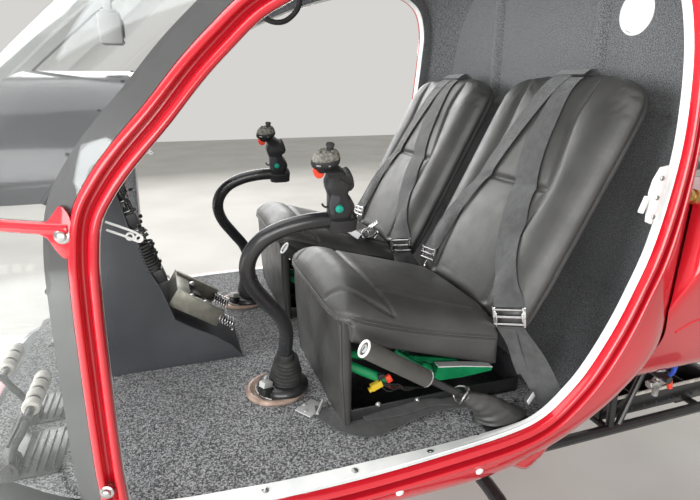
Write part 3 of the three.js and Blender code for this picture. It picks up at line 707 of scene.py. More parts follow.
def bulkhead():
    lining, ridges, edging = Shape(), Shape(), Shape()
    lining.rings([bulkhead_row(x, whole) for x, whole in (
        (BULKHEAD_REAR, True), (BULKHEAD_FRONT, True), (BULKHEAD_FRONT, False), (BULKHEAD_REAR, False))],
        closed=True)
    lining.piece("bulkhead_lining", LINING, replaces="rear_bulkhead", slot="carpet", smooth=35)
    for y in (RIDGE_Y, -RIDGE_Y):
        ridges.rings([[(RIDGE_X + dx, y + dy, z) for dx, dy in RIDGE]
                      for z in np.linspace(RIDGE_LOW, RIDGE_HIGH, 20)])
    ridges.rings([[(RIDGE_X + dx, y, RIDGE_LOW + dz) for dx, dz in SHELF]
                  for y in np.linspace(-SHELF_HALF, SHELF_HALF, 30)])
    ridges.piece("bulkhead_ridges", LINING, slot="carpet", smooth=60)
    edging.turned(HOLE_RIM, (RIDGE_X, HOLE_Y, HOLE_Z), X_AXIS, 64)
    edging.piece("access_rim", WHITE, slot="white_paint")


bulkhead()
for one in [o for o in bpy.data.objects if o.name.split(".")[0] in ("cutter", "shell", "glazing")]:
    drop(one)

# Moulded surrounds: red ridges with a groove between them, a white jamb inside and the lining's return.
# Each section lists the distance outwards from the opening and the height over the hull's side.
RIDGES = flat_curve([(0.0002, -0.0205), (0.0006, -0.0120), (0.0030, -0.0035), (0.0080, 0.0006),
                     (0.0130, 0.0002), (0.0165, -0.0036), (0.0182, -0.0105), (0.0205, -0.0175),
                     (0.0250, -0.0200), (0.0295, -0.0175), (0.0318, -0.0100), (0.0330, -0.0010),
                     (0.0360, 0.0032), (0.0405, 0.0042), (0.0450, 0.0024), (0.0475, -0.0030),
                     (0.0480, -0.0145)], 3, False)
JAMB = flat_curve([(0.0036, -0.0206), (0.0008, -0.0210), (0.0003, -0.0235), (0.0012, -0.0330),
                   (0.0026, -0.0430), (0.0036, -0.0470)], 3, False)
RETURN = [(0.0062, -0.0478), (0.0220, -0.0425), (0.0500, -0.0175), (0.0500, -0.0125), (0.0200, -0.0360),
          (0.0075, -0.0430)]


def surround(side, sign):
    ridges = side_band(RIDGES + [(0.040, -0.0270), (0.006, -0.0260)], sign)
    ridges.piece(f"surround_skin_{side}", RED, replaces=f"door_surround_{side}", slot="red_paint", smooth=50)
    jamb = side_band(JAMB + [(0.0060, -0.0480), (0.0080, -0.0240)], sign)
    jamb.piece(f"jamb_strip_{side}", WHITE, slot="white_paint", smooth=50)
    side_band(RETURN, sign).piece(f"jamb_return_{side}", LINING, slot="carpet", smooth=50)


for side, sign in SIDES:
    surround(side, sign)


# Padded leather: an inflated form that is held along its sewn lines
THREAD = surface("grey_thread", grey(0.10), grey(0.16), (0.6, 0.7), 200)
TAG = surface("blank_tag", grey(0.72), grey(0.80), (0.5, 0.6), 30)


STITCH, THREAD_RADIUS = 0.0018, 0.00055  # half a stitch's length, and its thickness


def spaced(points, gap):
    """Points about gap apart along a curve through points."""
    path = smooth_path(points, 24)
    out, run = [path[0]], 0.0
    for a, b in zip(path, path[1:]):
        run += (b - a).length
        if run >= gap:
            out.append(b)
            run = 0.0
    return out


def away_from(points, lines):
    """Distance of each point from the nearest point of any line."""
    sewn = np.array([tuple(p) for line in lines for p in spaced(line, 0.004)])
    out = np.empty(len(points))
    for i in range(0, len(points), 4000):
        out[i:i + 4000] = np.sqrt(((points[i:i + 4000, None] - sewn[None]) ** 2).sum(2).min(1))
    return out


VOXEL, HELD, PRESSURE, FRAMES = 0.008, 0.010, 4.0, 20  # of the cloth simulation


def points_of(made):
    flat = np.empty(len(made.data.vertices) * 3)
    made.data.vertices.foreach_get("co", flat)
    return flat.reshape(-1, 3) - np.array(ORIGIN)


def set_points(made, points):
    made.data.vertices.foreach_set("co", (points + np.array(ORIGIN)).ravel())
    made.data.update()


def normals_of(made):
    flat = np.empty(len(made.data.vertices) * 3)
    made.data.vertex_normals.foreach_get("vector", flat)
    return flat.reshape(-1, 3)


def inflate(made, sewn, cap, sink, width):
    """Cloth under pressure, held at the sewn lines, then a groove along them.

    No point moves further than cap; the groove is sink deep and width wide.
    """
    modifier = made.modifiers.new("remesh", "REMESH")
    modifier.mode, modifier.voxel_size = "VOXEL", VOXEL
    settle(made)
    start = points_of(made)
    gap = away_from(start, sewn)
    hold = made.vertex_groups.new(name="hold")
    for i in range(len(start)):
        hold.add([i], float(np.exp(-(gap[i] / HELD) ** 2)), "REPLACE")
    modifier = made.modifiers.new("cloth", "CLOTH")
    cloth = modifier.settings
    cloth.vertex_group_mass = "hold"
    cloth.quality, cloth.mass = 5, 0.3
    cloth.use_pressure, cloth.uniform_pressure_force = True, PRESSURE
    cloth.effector_weights.gravity = 0
    modifier.point_cache.frame_end = FRAMES
    for step in range(1, FRAMES + 1):
        bpy.context.scene.frame_set(step)
    settle(made)
    made.vertex_groups.clear()
    bpy.context.scene.frame_set(1)
    move = points_of(made) - start
    length = np.linalg.norm(move, axis=1, keepdims=True) + 1e-9
    set_points(made, start + move / length * cap * np.tanh(length / cap))
    soften(made)
    points = points_of(made)
    gap = away_from(points, sewn)
    set_points(made, points - normals_of(made) * (sink * np.exp(-(gap / width) ** 2))[:, None])
    return made


class Skin:
    """A piece's surface, to lay seams and straps on."""

    def __init__(self, made):
        self.tree = BVHTree.FromPolygons([v.co - ORIGIN for v in made.data.vertices],
                                         [p.vertices for p in made.data.polygons])

    def on(self, point, lift=0.0):
        place, normal, _, _ = self.tree.find_nearest(Vector(point))
        return place + normal * lift, normal


def seam(skin, points, thread, welt=None, rows=(-0.0045, 0.0045), pitch=0.0055, bead=0.0017):
    """A welt along a sewn line, with stitches on both sides of it."""
    path = spaced(points, pitch)
    laid = [skin.on(p) for p in path]
    if welt is not None:
        welt.tube([place + normal * bead * 0.4 for place, normal in laid], bead, 8)
    for i in range(1, len(laid) - 1):
        along = (laid[i + 1][0] - laid[i - 1][0]).normalized()
        across = along.cross(laid[i][1]).normalized()
        for row in rows:
            place, normal = skin.on(laid[i][0] + across * row)
            ends = [place + along * way - normal * 0.0002 for way in (-STITCH, STITCH)]
            thread.tube([ends[0], place + normal * 0.0005, ends[1]], THREAD_RADIUS, 5)


# Seat cushion: x, half width, bottom, side seam and crown
CUSHION = np.array([(-0.7500, 0.250, 0.107, 0.188, 0.262), (-0.7030, 0.250, 0.123, 0.199, 0.280),
                    (-0.6090, 0.250, 0.153, 0.220, 0.308), (-0.5220, 0.250, 0.181, 0.243, 0.334),
                    (-0.4490, 0.250, 0.205, 0.266, 0.352), (-0.3990, 0.250, 0.222, 0.284, 0.362),
                    (-0.3700, 0.249, 0.231, 0.295, 0.361), (-0.3545, 0.247, 0.237, 0.301, 0.356),
                    (-0.3505, 0.246, 0.284, 0.302, 0.354), (-0.3380, 0.238, 0.285, 0.305, 0.346),
                    (-0.3270, 0.226, 0.286, 0.305, 0.336), (-0.3190, 0.208, 0.287, 0.305, 0.325),
                    (-0.3150, 0.180, 0.288, 0.304, 0.314)])


def cushion_at(x):
    """Half width, bottom, side seam and crown."""
    return [float(np.interp(x, CUSHION[:, 0], CUSHION[:, k])) for k in (1, 2, 3, 4)]


def cushion_top(x, y):
    """Height of the cushion's top; y from the seat's middle."""
    width, _, side, crown = cushion_at(x)
    u = min(abs(y) / width, 1.0)
    roll = 0.007 * math.exp(-((x + 0.375) / 0.03) ** 2) * (1 - u ** 4)
    dip = 0.010 * math.exp(-(y / 0.15) ** 4) / (1 + math.exp((x + 0.455) / 0.012))
    return side + (crown - side) * max(1 - u ** 2.6, 0) ** 0.55 + roll - dip


def cushion_form():
    made = Shape()
    rings = []
    for x in list(np.arange(-0.75, -0.36, 0.015)) + list(CUSHION[-7:, 0]):
        width, bottom, side, _ = cushion_at(x)
        wall = [(0.96, 0.0), (0.992, 0.12), (1.0, 0.4), (1.0, 0.7), (0.99, 0.92)]
        ring = [(width * u, bottom) for u in np.linspace(-0.9, 0.9, 9)]
        ring += [(width * a, bottom + (side - bottom) * b) for a, b in wall]
        ring += [(width * u, cushion_top(x, width * u)) for u in np.sin(np.linspace(1.42, -1.42, 33))]
        ring += [(-width * a, bottom + (side - bottom) * b) for a, b in reversed(wall)]
        rings.append([(x, SEAT_Y + y, z) for y, z in ring])
    made.rings(rings)
    return made


def on_cushion(x, y):
    return Vector((x, SEAT_Y + y, cushion_top(x, y)))


RIM_X = (-0.745, -0.70, -0.64, -0.58, -0.52, -0.46, -0.41, -0.375, -0.351, -0.338, -0.327, -0.319, -0.315)


def cushion_rim(level, inset=0.0):
    """Round the cushion's two sides and front; level is 0 at the bottom and 1 at the side seam."""
    half = []
    for x in RIM_X:
        width, bottom, side, _ = cushion_at(x)
        half.append(Vector((x, width - inset, bottom + (side - bottom) * level)))
    front = [Vector((-0.3140, y, half[-1].z)) for y in (0.12, 0.0, -0.12)]
    return [p + Vector((0, SEAT_Y, 0))
            for p in half + front + [Vector((p.x, -p.y, p.z)) for p in reversed(half)]]


def cushion_line(points, sign=1):
    return [on_cushion(x, sign * y) for x, y in points]


ROLL_BACK = cushion_line([(-0.462, -0.236), (-0.440, -0.16), (-0.426, -0.08), (-0.422, 0), (-0.426, 0.08),
                          (-0.440, 0.16), (-0.462, 0.236)])
ROLL_SIDES = [cushion_line([(-0.322, 0.152), (-0.350, 0.168), (-0.372, 0.185), (-0.402, 0.208),
                            (-0.436, 0.226), (-0.462, 0.236)], sign) for sign in (-1, 1)]
LONG_SEAMS = [cushion_line([(-0.440, 0.160), (-0.50, 0.168), (-0.56, 0.178), (-0.64, 0.186),
                            (-0.74, 0.190)], sign) for sign in (-1, 1)]
CUSHION_SEAMS = [ROLL_BACK] + ROLL_SIDES + LONG_SEAMS
FRONT_LOW = [Vector((x, SEAT_Y + y, z)) for x, y, z in (
    (-0.3505, 0.2455, 0.284), (-0.338, 0.237, 0.285), (-0.327, 0.225, 0.286), (-0.319, 0.207, 0.287),
    (-0.314, 0.17, 0.288), (-0.3135, 0, 0.288), (-0.314, -0.17, 0.288), (-0.319, -0.207, 0.287),
    (-0.3505, -0.2455, 0.284))]

# Seat back: y from the seat's middle, distance up the back, distance ahead of its plane
BACK_FOOT = (-0.780, 0.250)
UP_BACK, AHEAD = Vector((-0.4636, 0, 0.886)), Vector((0.886, 0, 0.4636))
BACK_EDGE = np.array([  # up the back, half width, front and rear of its edge
    (-0.040, 0.262, 0.000, -0.060), (0.000, 0.272, 0.014, -0.066), (0.10, 0.274, 0.016, -0.070),
    (0.54, 0.274, 0.014, -0.070), (0.59, 0.271, 0.012, -0.069), (0.618, 0.260, 0.008, -0.066),
    (0.636, 0.243, 0.003, -0.062), (0.650, 0.215, -0.004, -0.057), (0.660, 0.170, -0.012, -0.050),
    (0.666, 0.110, -0.020, -0.042),
])
BACK_SECTION = [(0.0, 1.0), (0.25, 1.05), (0.42, 0.95), (0.50, 0.98), (0.62, 1.22), (0.75, 1.28),
                (0.86, 0.85)]
RIM_HEIGHTS = (-0.03, 0.1, 0.2, 0.3, 0.4, 0.5, 0.57, 0.60, 0.618, 0.636, 0.650, 0.660, 0.667)
BACK_TOP, RIM_SHARE = 0.670, 0.72


def on_back(y, s, n=0.0):
    return Vector((BACK_FOOT[0], SEAT_Y + y, BACK_FOOT[1])) + UP_BACK * s + AHEAD * n


def back_line(points, n=0.012):
    return [on_back(y, s, n) for y, s in points]


def back_at(s):
    """Half width, front and rear of the back's edge at a distance up it."""
    return [float(np.interp(s, BACK_EDGE[:, 0], BACK_EDGE[:, k])) for k in (1, 2, 3)]


def back_form():
    made = Shape()
    rings = []
    for s in list(np.arange(-0.04, 0.60, 0.02)) + list(BACK_EDGE[-6:, 0]):
        width, front, rear = back_at(s)
        half = [(width * a, front * b) for a, b in BACK_SECTION]
        half += [(width * 0.95, front - 0.018), (width * 0.995, front * 0.2 - 0.030), (width, rear * 0.75),
                 (width * 0.97, rear * 0.95), (width * 0.85, rear), (width * 0.4, rear)]
        ring = half + [(-a, b) for a, b in reversed(half[1:])]
        rings.append([on_back(a, s, b) for a, b in ring])
    made.rings(rings)
    return made


BACK_SEAMS = [
    back_line([(-0.150, 0.325), (-0.07, 0.325), (0.0, 0.325), (0.09, 0.325), (0.167, 0.325)], 0.014),
    back_line([(0.134, 0.645), (0.128, 0.59), (0.123, 0.529), (0.142, 0.44), (0.162, 0.37), (0.167, 0.321),
               (0.158, 0.24), (0.150, 0.13), (0.150, 0.0)]),
    back_line([(-0.152, 0.645), (-0.146, 0.55), (-0.140, 0.472), (-0.146, 0.36), (-0.150, 0.30),
               (-0.150, 0.20), (-0.147, 0.10), (-0.140, 0.0)]),
]


def back_rim(share):
    """Round the back's outline; share is 0 at its front edge and 1 at its rear."""
    half = []
    for s in RIM_HEIGHTS:
        width, front, rear = back_at(s)
        half.append((width, s, front + (rear - front) * share))
    top = (0.0, BACK_TOP, half[-1][2])
    return [on_back(y, s, n) for y, s, n in half + [top] + [(-y, s, n) for y, s, n in reversed(half)]]


# Skirt under the cushion's front
SKIRT_HALF, SKIRT_BACK, SKIRT_LOW, SKIRT_HEIGHT = 0.226, -0.357, 0.004, 0.282
SKIRT_PIPING = ((-0.3450, 1, 0.004), (-0.3370, 1, 0.15), (-0.3340, 1.01, 0.284))  # x, share of y, z


def skirt_fold(y, t):
    """How far the leather wanders forward: drawn in at its top, with slow waves all over."""
    pull = noise.noise(Vector((y * 26, t * 3.0, 1.7))) * 0.0030 * t ** 3
    wave = noise.noise(Vector((y * 6, t * 2.2, 5.1))) * 0.0045
    gather = math.sin(y * 150 + 5 * noise.noise(Vector((y * 14, 0, 0)))) * 0.0014 * max(0, t - 0.8) / 0.2
    return pull + wave + gather


def skirt_form():
    made = Shape()
    rings = []
    for k in range(25):
        t = k / 24
        front = -0.3430 + 0.0110 * t + 0.004 * math.sin(math.pi * t)
        half = SKIRT_HALF + 0.003 * t
        corners = [(SKIRT_BACK, SKIRT_HALF, 0), (front, half, 0), (front, -half, 0),
                   (SKIRT_BACK, -SKIRT_HALF, 0)]
        path = rounded(corners, 0.012, 8)
        lengths = np.cumsum([0.0] + [(b - a).length for a, b in zip(path, path[1:])])
        ring = []
        for share in np.linspace(0, lengths[-1], 90):
            p = Vector([float(np.interp(share, lengths, [q[axis] for q in path])) for axis in range(3)])
            move = skirt_fold(p.y, t) * (1 if abs(p.y) < SKIRT_HALF - 0.01 else 0.2)
            ring.append(Vector((p.x + move, SEAT_Y + p.y, SKIRT_LOW + SKIRT_HEIGHT * t)))
        rings.append(ring)
    inner = [[p + Vector((-0.004, (SEAT_Y - p.y) * 0.02, 0)) for p in ring] for ring in rings]
    made.rings([ring + list(reversed(back)) for ring, back in zip(rings, inner)])
    return made


def make_seat():
    """The port seat's own pieces, each with the CAD node that it stands for."""
    cushion = cushion_form().piece("seat_cushion_skin", LEATHER, ride=False)
    rims = [cushion_rim(1.0), FRONT_LOW, cushion_rim(0.0, 0.008)]
    inflate(cushion, rims + CUSHION_SEAMS, cap=0.011, sink=0.0045, width=0.007)
    back = back_form().piece("seat_back_skin", LEATHER, ride=False)
    inflate(back, [back_rim(RIM_SHARE)] + BACK_SEAMS, cap=0.013, sink=0.006, width=0.009)
    thread, welt = Shape(), Shape()
    seat, rest = Skin(cushion), Skin(back)
    seam(seat, cushion_rim(0.98), thread, welt, rows=(-0.005, 0.005))
    welt.tube([seat.on(p)[0] for p in spaced(FRONT_LOW, 0.006)], 0.0022, 8)
    for line in CUSHION_SEAMS:
        seam(seat, line, thread, None, rows=(0.0045,))
    seam(rest, back_rim(RIM_SHARE), thread, welt, rows=(-0.006,), bead=0.0022)
    for line in BACK_SEAMS:
        seam(rest, line, thread, None, rows=(0.005,))
    skirt = skirt_form().piece("seat_skirt", LEATHER, ride=False, smooth=60)
    for y in (SKIRT_HALF - 0.001, 0.001 - SKIRT_HALF):
        welt.tube(smooth_path([(x, SEAT_Y + y * share, z) for x, share, z in SKIRT_PIPING], 8), 0.0030, 8)
    pieces = {"seat_cushion_skin": (cushion, "seat_cushion"),
              "seat_back_skin": (back, "seat_back"),
              "seat_skirt": (skirt, "seat_box"),
              "seat_stitches": (thread.piece("seat_stitches", THREAD, ride=False), None),
              "seat_piping": (welt.piece("seat_piping", LEATHER, ride=False), None)}
    return pieces, rest, seat


BASE_SLOPE = [(0.951, 0, 0.309), Y_AXIS, (-0.309, 0, 0.951)]
BASE_X, BASE_SIDE = -0.600, 0.214


def panels_form():
    """Black sheet panels of the seat's base: front, slope, rear and a rail low on each side."""
    made = Shape()
    made.block((-0.358, SEAT_Y, 0.118), (0.004, 0.430, 0.232), bevel=0.0015)
    made.block((-0.575, SEAT_Y - 0.010, 0.157), (0.420, 0.400, 0.004), BASE_SLOPE, 0.001)
    made.block((-0.845, SEAT_Y, 0.045), (0.006, 0.430, 0.085), bevel=0.0015)
    made.block((BASE_X, SEAT_Y, 0.0030), (0.486, 0.436, 0.004), bevel=0.001)
    for side in (-BASE_SIDE, BASE_SIDE):
        made.block((BASE_X, SEAT_Y + side, 0.0215), (0.486, 0.004, 0.041), bevel=0.001)
        made.block((-0.3600, SEAT_Y + side, 0.112), (0.010, 0.004, 0.216), bevel=0.001)
    made.block((BASE_X, SEAT_Y - 0.02, 0.075), (0.470, 0.005, 0.142), bevel=0.001)
    return made


# Webbing
STRAP_CLEAR = 0.0040  # height of a strap's middle over the leather


def ribbon(made, rows, thickness=0.0015, columns=9, crown=0.0, skin=None):
    """Webbing between a left and a right edge, given row by row, and kept above a skin; UV in millimetres."""
    run, before = 0.0, None
    shares = [k / (columns - 1) for k in range(columns)]
    rings, uvs = [], []
    for i, (a, b) in enumerate(rows):
        middle = (a + b) / 2
        run += (middle - before).length if before else 0
        before = middle
        ahead, behind = rows[min(i + 1, len(rows) - 1)], rows[max(i - 1, 0)]
        along = (ahead[0] + ahead[1] - behind[0] - behind[1]).normalized()
        normal = (b - a).cross(along).normalized()
        width = (b - a).length
        row = [a.lerp(b, share) + normal * crown * (1 - (2 * share - 1) ** 2) for share in shares]
        for k, p in enumerate(row if skin else []):
            clear, outwards = skin.on(p, STRAP_CLEAR)
            if (p - clear).dot(outwards) < 0:
                row[k] = clear
        both = [(p + normal * thickness / 2, share) for p, share in zip(row, shares)]
        both += [(p - normal * thickness / 2, share) for p, share in zip(row[::-1], shares[::-1])]
        rings.append([p for p, _ in both])
        uvs += [(share * width * 1000, run * 1000) for _, share in both]
    start = made.rings(rings)
    for k, uv in enumerate(uvs):
        made.uv[start + k] = uv


def edge_rows(left, right, count=40, skin=None, lift=0.004):
    """Rows between two edges, evenly shared out, laid on a surface where one is given."""
    sides = []
    for edge in (left, right):
        path = smooth_path(edge, 20)
        lengths = np.cumsum([0] + [(b - a).length for a, b in zip(path, path[1:])])
        line = []
        for share in np.linspace(0, lengths[-1], count):
            i = min(int(np.searchsorted(lengths, share, "right")) - 1, len(path) - 2)
            t = (share - lengths[i]) / max(lengths[i + 1] - lengths[i], 1e-9)
            line.append(path[i].lerp(path[i + 1], t))
        sides.append(line)
    if skin:
        sides = [[skin.on(p, lift)[0] for p in line] for line in sides]
    return list(zip(*sides))


def three_bar(made, corners):
    """A chromed three-bar adjuster from its corners: top left, top right, bottom left, bottom right."""
    tl, tr, bl, br = (Vector(c) for c in corners)
    for a, b, inwards in ((tl, bl, tr - tl), (tr, br, tl - tr)):
        down, inwards = (b - a).normalized(), inwards.normalized()
        out = down.cross(inwards).normalized()
        middle, size = (a + b) / 2 + inwards * 0.003, (a - b).length + 0.012
        axes = [down, out.cross(down), out]
        made.block(middle, (size, 0.0095, 0.0050), axes, 0.0016)
        made.block(middle + inwards * 0.004, (size * 0.45, 0.0065, 0.0090), axes, 0.0020)
    for share, radius in ((0.04, 0.0030), (0.50, 0.0042), (0.97, 0.0038)):
        made.tube([tl.lerp(bl, share), tr.lerp(br, share)], radius, 12)


# Shoulder straps, as the left and right edge of each on the back, and then down to its adjuster
PORT_STRAP = ([(-0.004, 0.655), (-0.001, 0.589), (0.001, 0.42), (0.031, 0.321), (0.07, 0.206), (0.112, 0.120),
               (0.152, 0.055)],
              [(0.062, 0.655), (0.066, 0.58), (0.088, 0.43), (0.118, 0.335), (0.150, 0.235), (0.188, 0.145),
               (0.230, 0.080)])
PORT_END = ([(-0.744, 0.553, 0.266)], [(-0.795, 0.611, 0.283)])
STARBOARD_STRAP = ([(-0.058, 0.655), (-0.069, 0.585), (-0.112, 0.437), (-0.167, 0.272), (-0.214, 0.13)],
                   [(0.012, 0.655), (0.003, 0.600), (-0.056, 0.42), (-0.097, 0.301), (-0.145, 0.165)])
STARBOARD_END = ([(-0.800, 0.108, 0.345), (-0.768, 0.115, 0.300)],
                 [(-0.810, 0.172, 0.335), (-0.775, 0.176, 0.300)])
# Strap over the top of the back and down behind it: half width, up the back, ahead of it
OVER_TOP = [(0.060, 0.655, 0.004), (0.058, 0.684, -0.020), (0.055, 0.676, -0.062), (0.050, 0.60, -0.082),
            (0.04, 0.40, -0.084)]
LAP_STRAP = ([(-0.752, 0.556, 0.213), (-0.772, 0.577, 0.196), (-0.779, 0.600, 0.135), (-0.801, 0.625, 0.090),
              (-0.835, 0.650, 0.026), (-0.842, 0.655, 0.006)],
             [(-0.797, 0.611, 0.228), (-0.800, 0.628, 0.215), (-0.824, 0.655, 0.174), (-0.853, 0.672, 0.118),
              (-0.876, 0.688, 0.060), (-0.890, 0.692, 0.020)])
LAP_TAIL = ([(-0.753, 0.560, 0.212), (-0.764, 0.590, 0.180), (-0.776, 0.607, 0.132), (-0.790, 0.612, 0.098)],
            [(-0.783, 0.600, 0.216), (-0.788, 0.612, 0.180), (-0.800, 0.626, 0.134), (-0.812, 0.630, 0.100)])
FAR_LAP = ([(-0.760, 0.113, 0.264), (-0.766, 0.098, 0.225), (-0.800, 0.085, 0.150)],
           [(-0.771, 0.179, 0.266), (-0.786, 0.160, 0.225), (-0.830, 0.140, 0.150)])
ADJUSTERS = ([(-0.740, 0.555, 0.262), (-0.793, 0.614, 0.277), (-0.747, 0.558, 0.220), (-0.797, 0.616, 0.235)],
             [(-0.762, 0.114, 0.300), (-0.774, 0.178, 0.302), (-0.758, 0.114, 0.266), (-0.769, 0.178, 0.268)])
LINK = [(-0.764, 0.146, 0.262), (-0.752, 0.150, 0.246), (-0.760, 0.154, 0.232), (-0.772, 0.150, 0.244)]
TAB_AXES = [(0.86, 0.28, -0.42), (-0.33, 0.94, 0.0), (0.39, 0.14, 0.90)]
TAG_AXES = [(0.78, 0.28, -0.56), (-0.33, 0.94, 0.0), (0.53, 0.19, 0.82)]


def shoulder_strap(webs, rest, strap, ending, lift, count):
    """A strap that lies on the back and then runs on to its adjuster."""
    rows = edge_rows(*(back_line(edge) for edge in strap), 40, rest, lift)
    end = edge_rows(*([last] + edge for last, edge in zip(rows[-1], ending)), count)
    ribbon(webs, rows + end[1:], crown=0.0006, skin=rest)


def strap_stitches(made, rest):
    """Rows of stitches where the two straps are sewn together."""
    for y0, y1 in ((-0.052, 0.004), (0.004, 0.058)):
        for s in (0.600, 0.607, 0.640):
            row = [rest.on(on_back(y0 + (y1 - y0) * k / 10, s, 0.02), 0.0072)[0] for k in range(11)]
            for a, b in zip(row, row[1:]):
                made.tube([a, a.lerp(b, 0.6)], 0.0006, 5)


def harness(rest):
    """Webbing, tags and adjusters of one seat."""
    webs, metal, stitches, tags, tabs = (Shape() for _ in range(5))
    shoulder_strap(webs, rest, PORT_STRAP, PORT_END, 0.004, 8)
    shoulder_strap(webs, rest, STARBOARD_STRAP, STARBOARD_END, 0.0065, 10)
    over = [[on_back(sign * y, s, n) for y, s, n in OVER_TOP] for sign in (-1, 1)]
    ribbon(webs, edge_rows(*over, 26))
    for edges, count in ((LAP_STRAP, 24), (LAP_TAIL, 14)):
        ribbon(webs, edge_rows(*edges, count), crown=0.001)
    for corners in ADJUSTERS:
        three_bar(metal, corners)
    metal.tube(smooth_path(LINK, 6, True), 0.0022, 8, closed=True)
    ribbon(webs, edge_rows(*FAR_LAP, 12), crown=0.001)
    strap_stitches(stitches, rest)
    tabs.block((-0.806, 0.652, 0.048), (0.040, 0.0030, 0.040), TAB_AXES, 0.001)
    tags.block((-0.806, 0.6545, 0.049), (0.030, 0.0014, 0.019), TAG_AXES, 0.0006)
    return {"harness_webbing": (webs.piece("harness_webbing", WEBBING, ride=False, smooth=50), "harness"),
            "harness_adjusters": (metal.piece("harness_adjusters", CHROME, ride=False), None),
            "harness_stitches": (stitches.piece("harness_stitches", THREAD, ride=False), None),
            "harness_tab": (tabs.piece("harness_tab", WEBBING, ride=False), None),
            "harness_tag": (tags.piece("harness_tag", TAG, ride=False), None)}


seat_pieces, port_back, port_cushion = make_seat()
seat_pieces["seat_panels"] = (panels_form().piece("seat_panels", BLACK, ride=False), None)
seat_pieces.update(harness(port_back))
for name, (made, stands_for) in seat_pieces.items():
    twin = copy_of(made, f"{name}_starboard")
    made.name = f"{name}_port"
    twin.data.transform(Matrix.Translation((0, -2 * SEAT_Y, 0)))
    for side, one in (("port", made), ("starboard", twin)):
        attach(one, "cabin")
        if stands_for:
            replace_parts(one, f"{stands_for}_{side}")

# Loose lap belt with its buckle and blank tag, on the starboard cushion's edge: x, y and lift of its middle
AWAY = Vector((0, 2 * SEAT_Y, 0))
SPARE_BELT = ((0.0, [(-0.715, -0.170, 0.006), (-0.690, -0.150, 0.030), (-0.655, -0.140, 0.036),
                     (-0.625, -0.150, 0.016), (-0.600, -0.170, 0.005)]),
              (0.9, [(-0.700, -0.130, 0.008), (-0.680, -0.125, 0.050), (-0.650, -0.120, 0.058),
                     (-0.640, -0.122, 0.030), (-0.660, -0.130, 0.010), (-0.690, -0.150, 0.007)]))
BELT_HALF = 0.021
SPARE_BAR = ((-0.024, -0.012, 0.022), (-0.012, 0.026, 0.026), (0.010, -0.020, -0.004), (0.022, 0.018, 0.002))
SPARE_LINK = ((0.020, 0.004, 0.004), (0.040, 0.010, -0.010), (0.034, 0.020, -0.026), (0.014, 0.014, -0.018))
BUCKLE_AXES = [(0.7, 0.3, -0.6), (-0.3, 0.95, 0), (0.6, 0.2, 0.75)]
SPARE_TAG_AXES = [(-0.75, 0.36, -0.55), (0.45, 0.88, -0.05), (0.47, -0.29, -0.83)]


def on_far_cushion(x, y, lift):
    return port_cushion.on(Vector((x, y, 0.29)) + AWAY, lift)[0] - AWAY


def spare_belt():
    webs, metal, tag = Shape(), Shape(), Shape()
    for turn, points in SPARE_BELT:
        wide = Vector((0.30 * math.cos(turn), 0.95 * math.cos(turn * 0.5), 0.25 * math.sin(turn)))
        wide = wide.normalized() * BELT_HALF
        line = [on_far_cushion(*p) for p in points]
        ribbon(webs, edge_rows([p - wide for p in line], [p + wide for p in line], 26), crown=0.001)
    heart = on_far_cushion(-0.664, -0.124, 0.048)
    three_bar(metal, [heart + Vector(d) for d in SPARE_BAR])
    metal.tube(smooth_path([heart + Vector(d) for d in SPARE_LINK], 6, True), 0.0022, 8, closed=True)
    metal.block(heart + Vector((-0.012, 0.022, -0.020)), (0.034, 0.018, 0.012), BUCKLE_AXES, 0.003)
    tag.block(on_far_cushion(-0.600, -0.118, 0.026), (0.046, 0.0014, 0.024), SPARE_TAG_AXES, 0.0006)
    for made, name, material, slot in ((webs, "lap_belt_spare", WEBBING, "webbing"),
                                       (metal, "lap_buckle_spare", CHROME, "steel"),
                                       (tag, "lap_tag_spare", TAG, "white_paint")):
        made.piece(name, material, slot=slot, smooth=50)


spare_belt()


# Cyclic sticks: they lean to port; x, height along the leaning plane, and distance across it
LEAN = math.radians(22)
STICK_X, STICK_RADIUS = -0.238, 0.0180
STICK_PATH = [(-0.236, 0.120), (-0.237, 0.160), (-0.238, 0.200), (-0.236, 0.235), (-0.222, 0.282),
              (-0.186, 0.340), (-0.152, 0.398), (-0.139, 0.448), (-0.146, 0.492), (-0.172, 0.530),
              (-0.214, 0.554), (-0.268, 0.566), (-0.330, 0.568), (-0.364, 0.567)]
MOTTLED = surface("mottled_plate", (0.060, 0.057, 0.048), (0.20, 0.19, 0.165), (0.45, 0.6), 130,
                  [("noise", 260, 0.5, 0.0010)])
# Grip: height, front, rear, half width
GRIP = [(0.5770, -0.3105, -0.3600, 0.019), (0.5900, -0.3090, -0.3590, 0.020),
        (0.6000, -0.3080, -0.3620, 0.020), (0.6100, -0.3070, -0.3600, 0.0195),
        (0.6220, -0.3060, -0.3530, 0.019), (0.6340, -0.3040, -0.3470, 0.0185),
        (0.6390, -0.3010, -0.3460, 0.019), (0.6480, -0.2975, -0.3470, 0.020),
        (0.6560, -0.2955, -0.3500, 0.0205), (0.6640, -0.2955, -0.3525, 0.020),
        (0.6720, -0.2975, -0.3490, 0.018), (0.6790, -0.2985, -0.3430, 0.0175),
        (0.6880, -0.2930, -0.3330, 0.018), (0.6960, -0.2850, -0.3230, 0.021)]
GRIP_SQUARENESS = 0.48
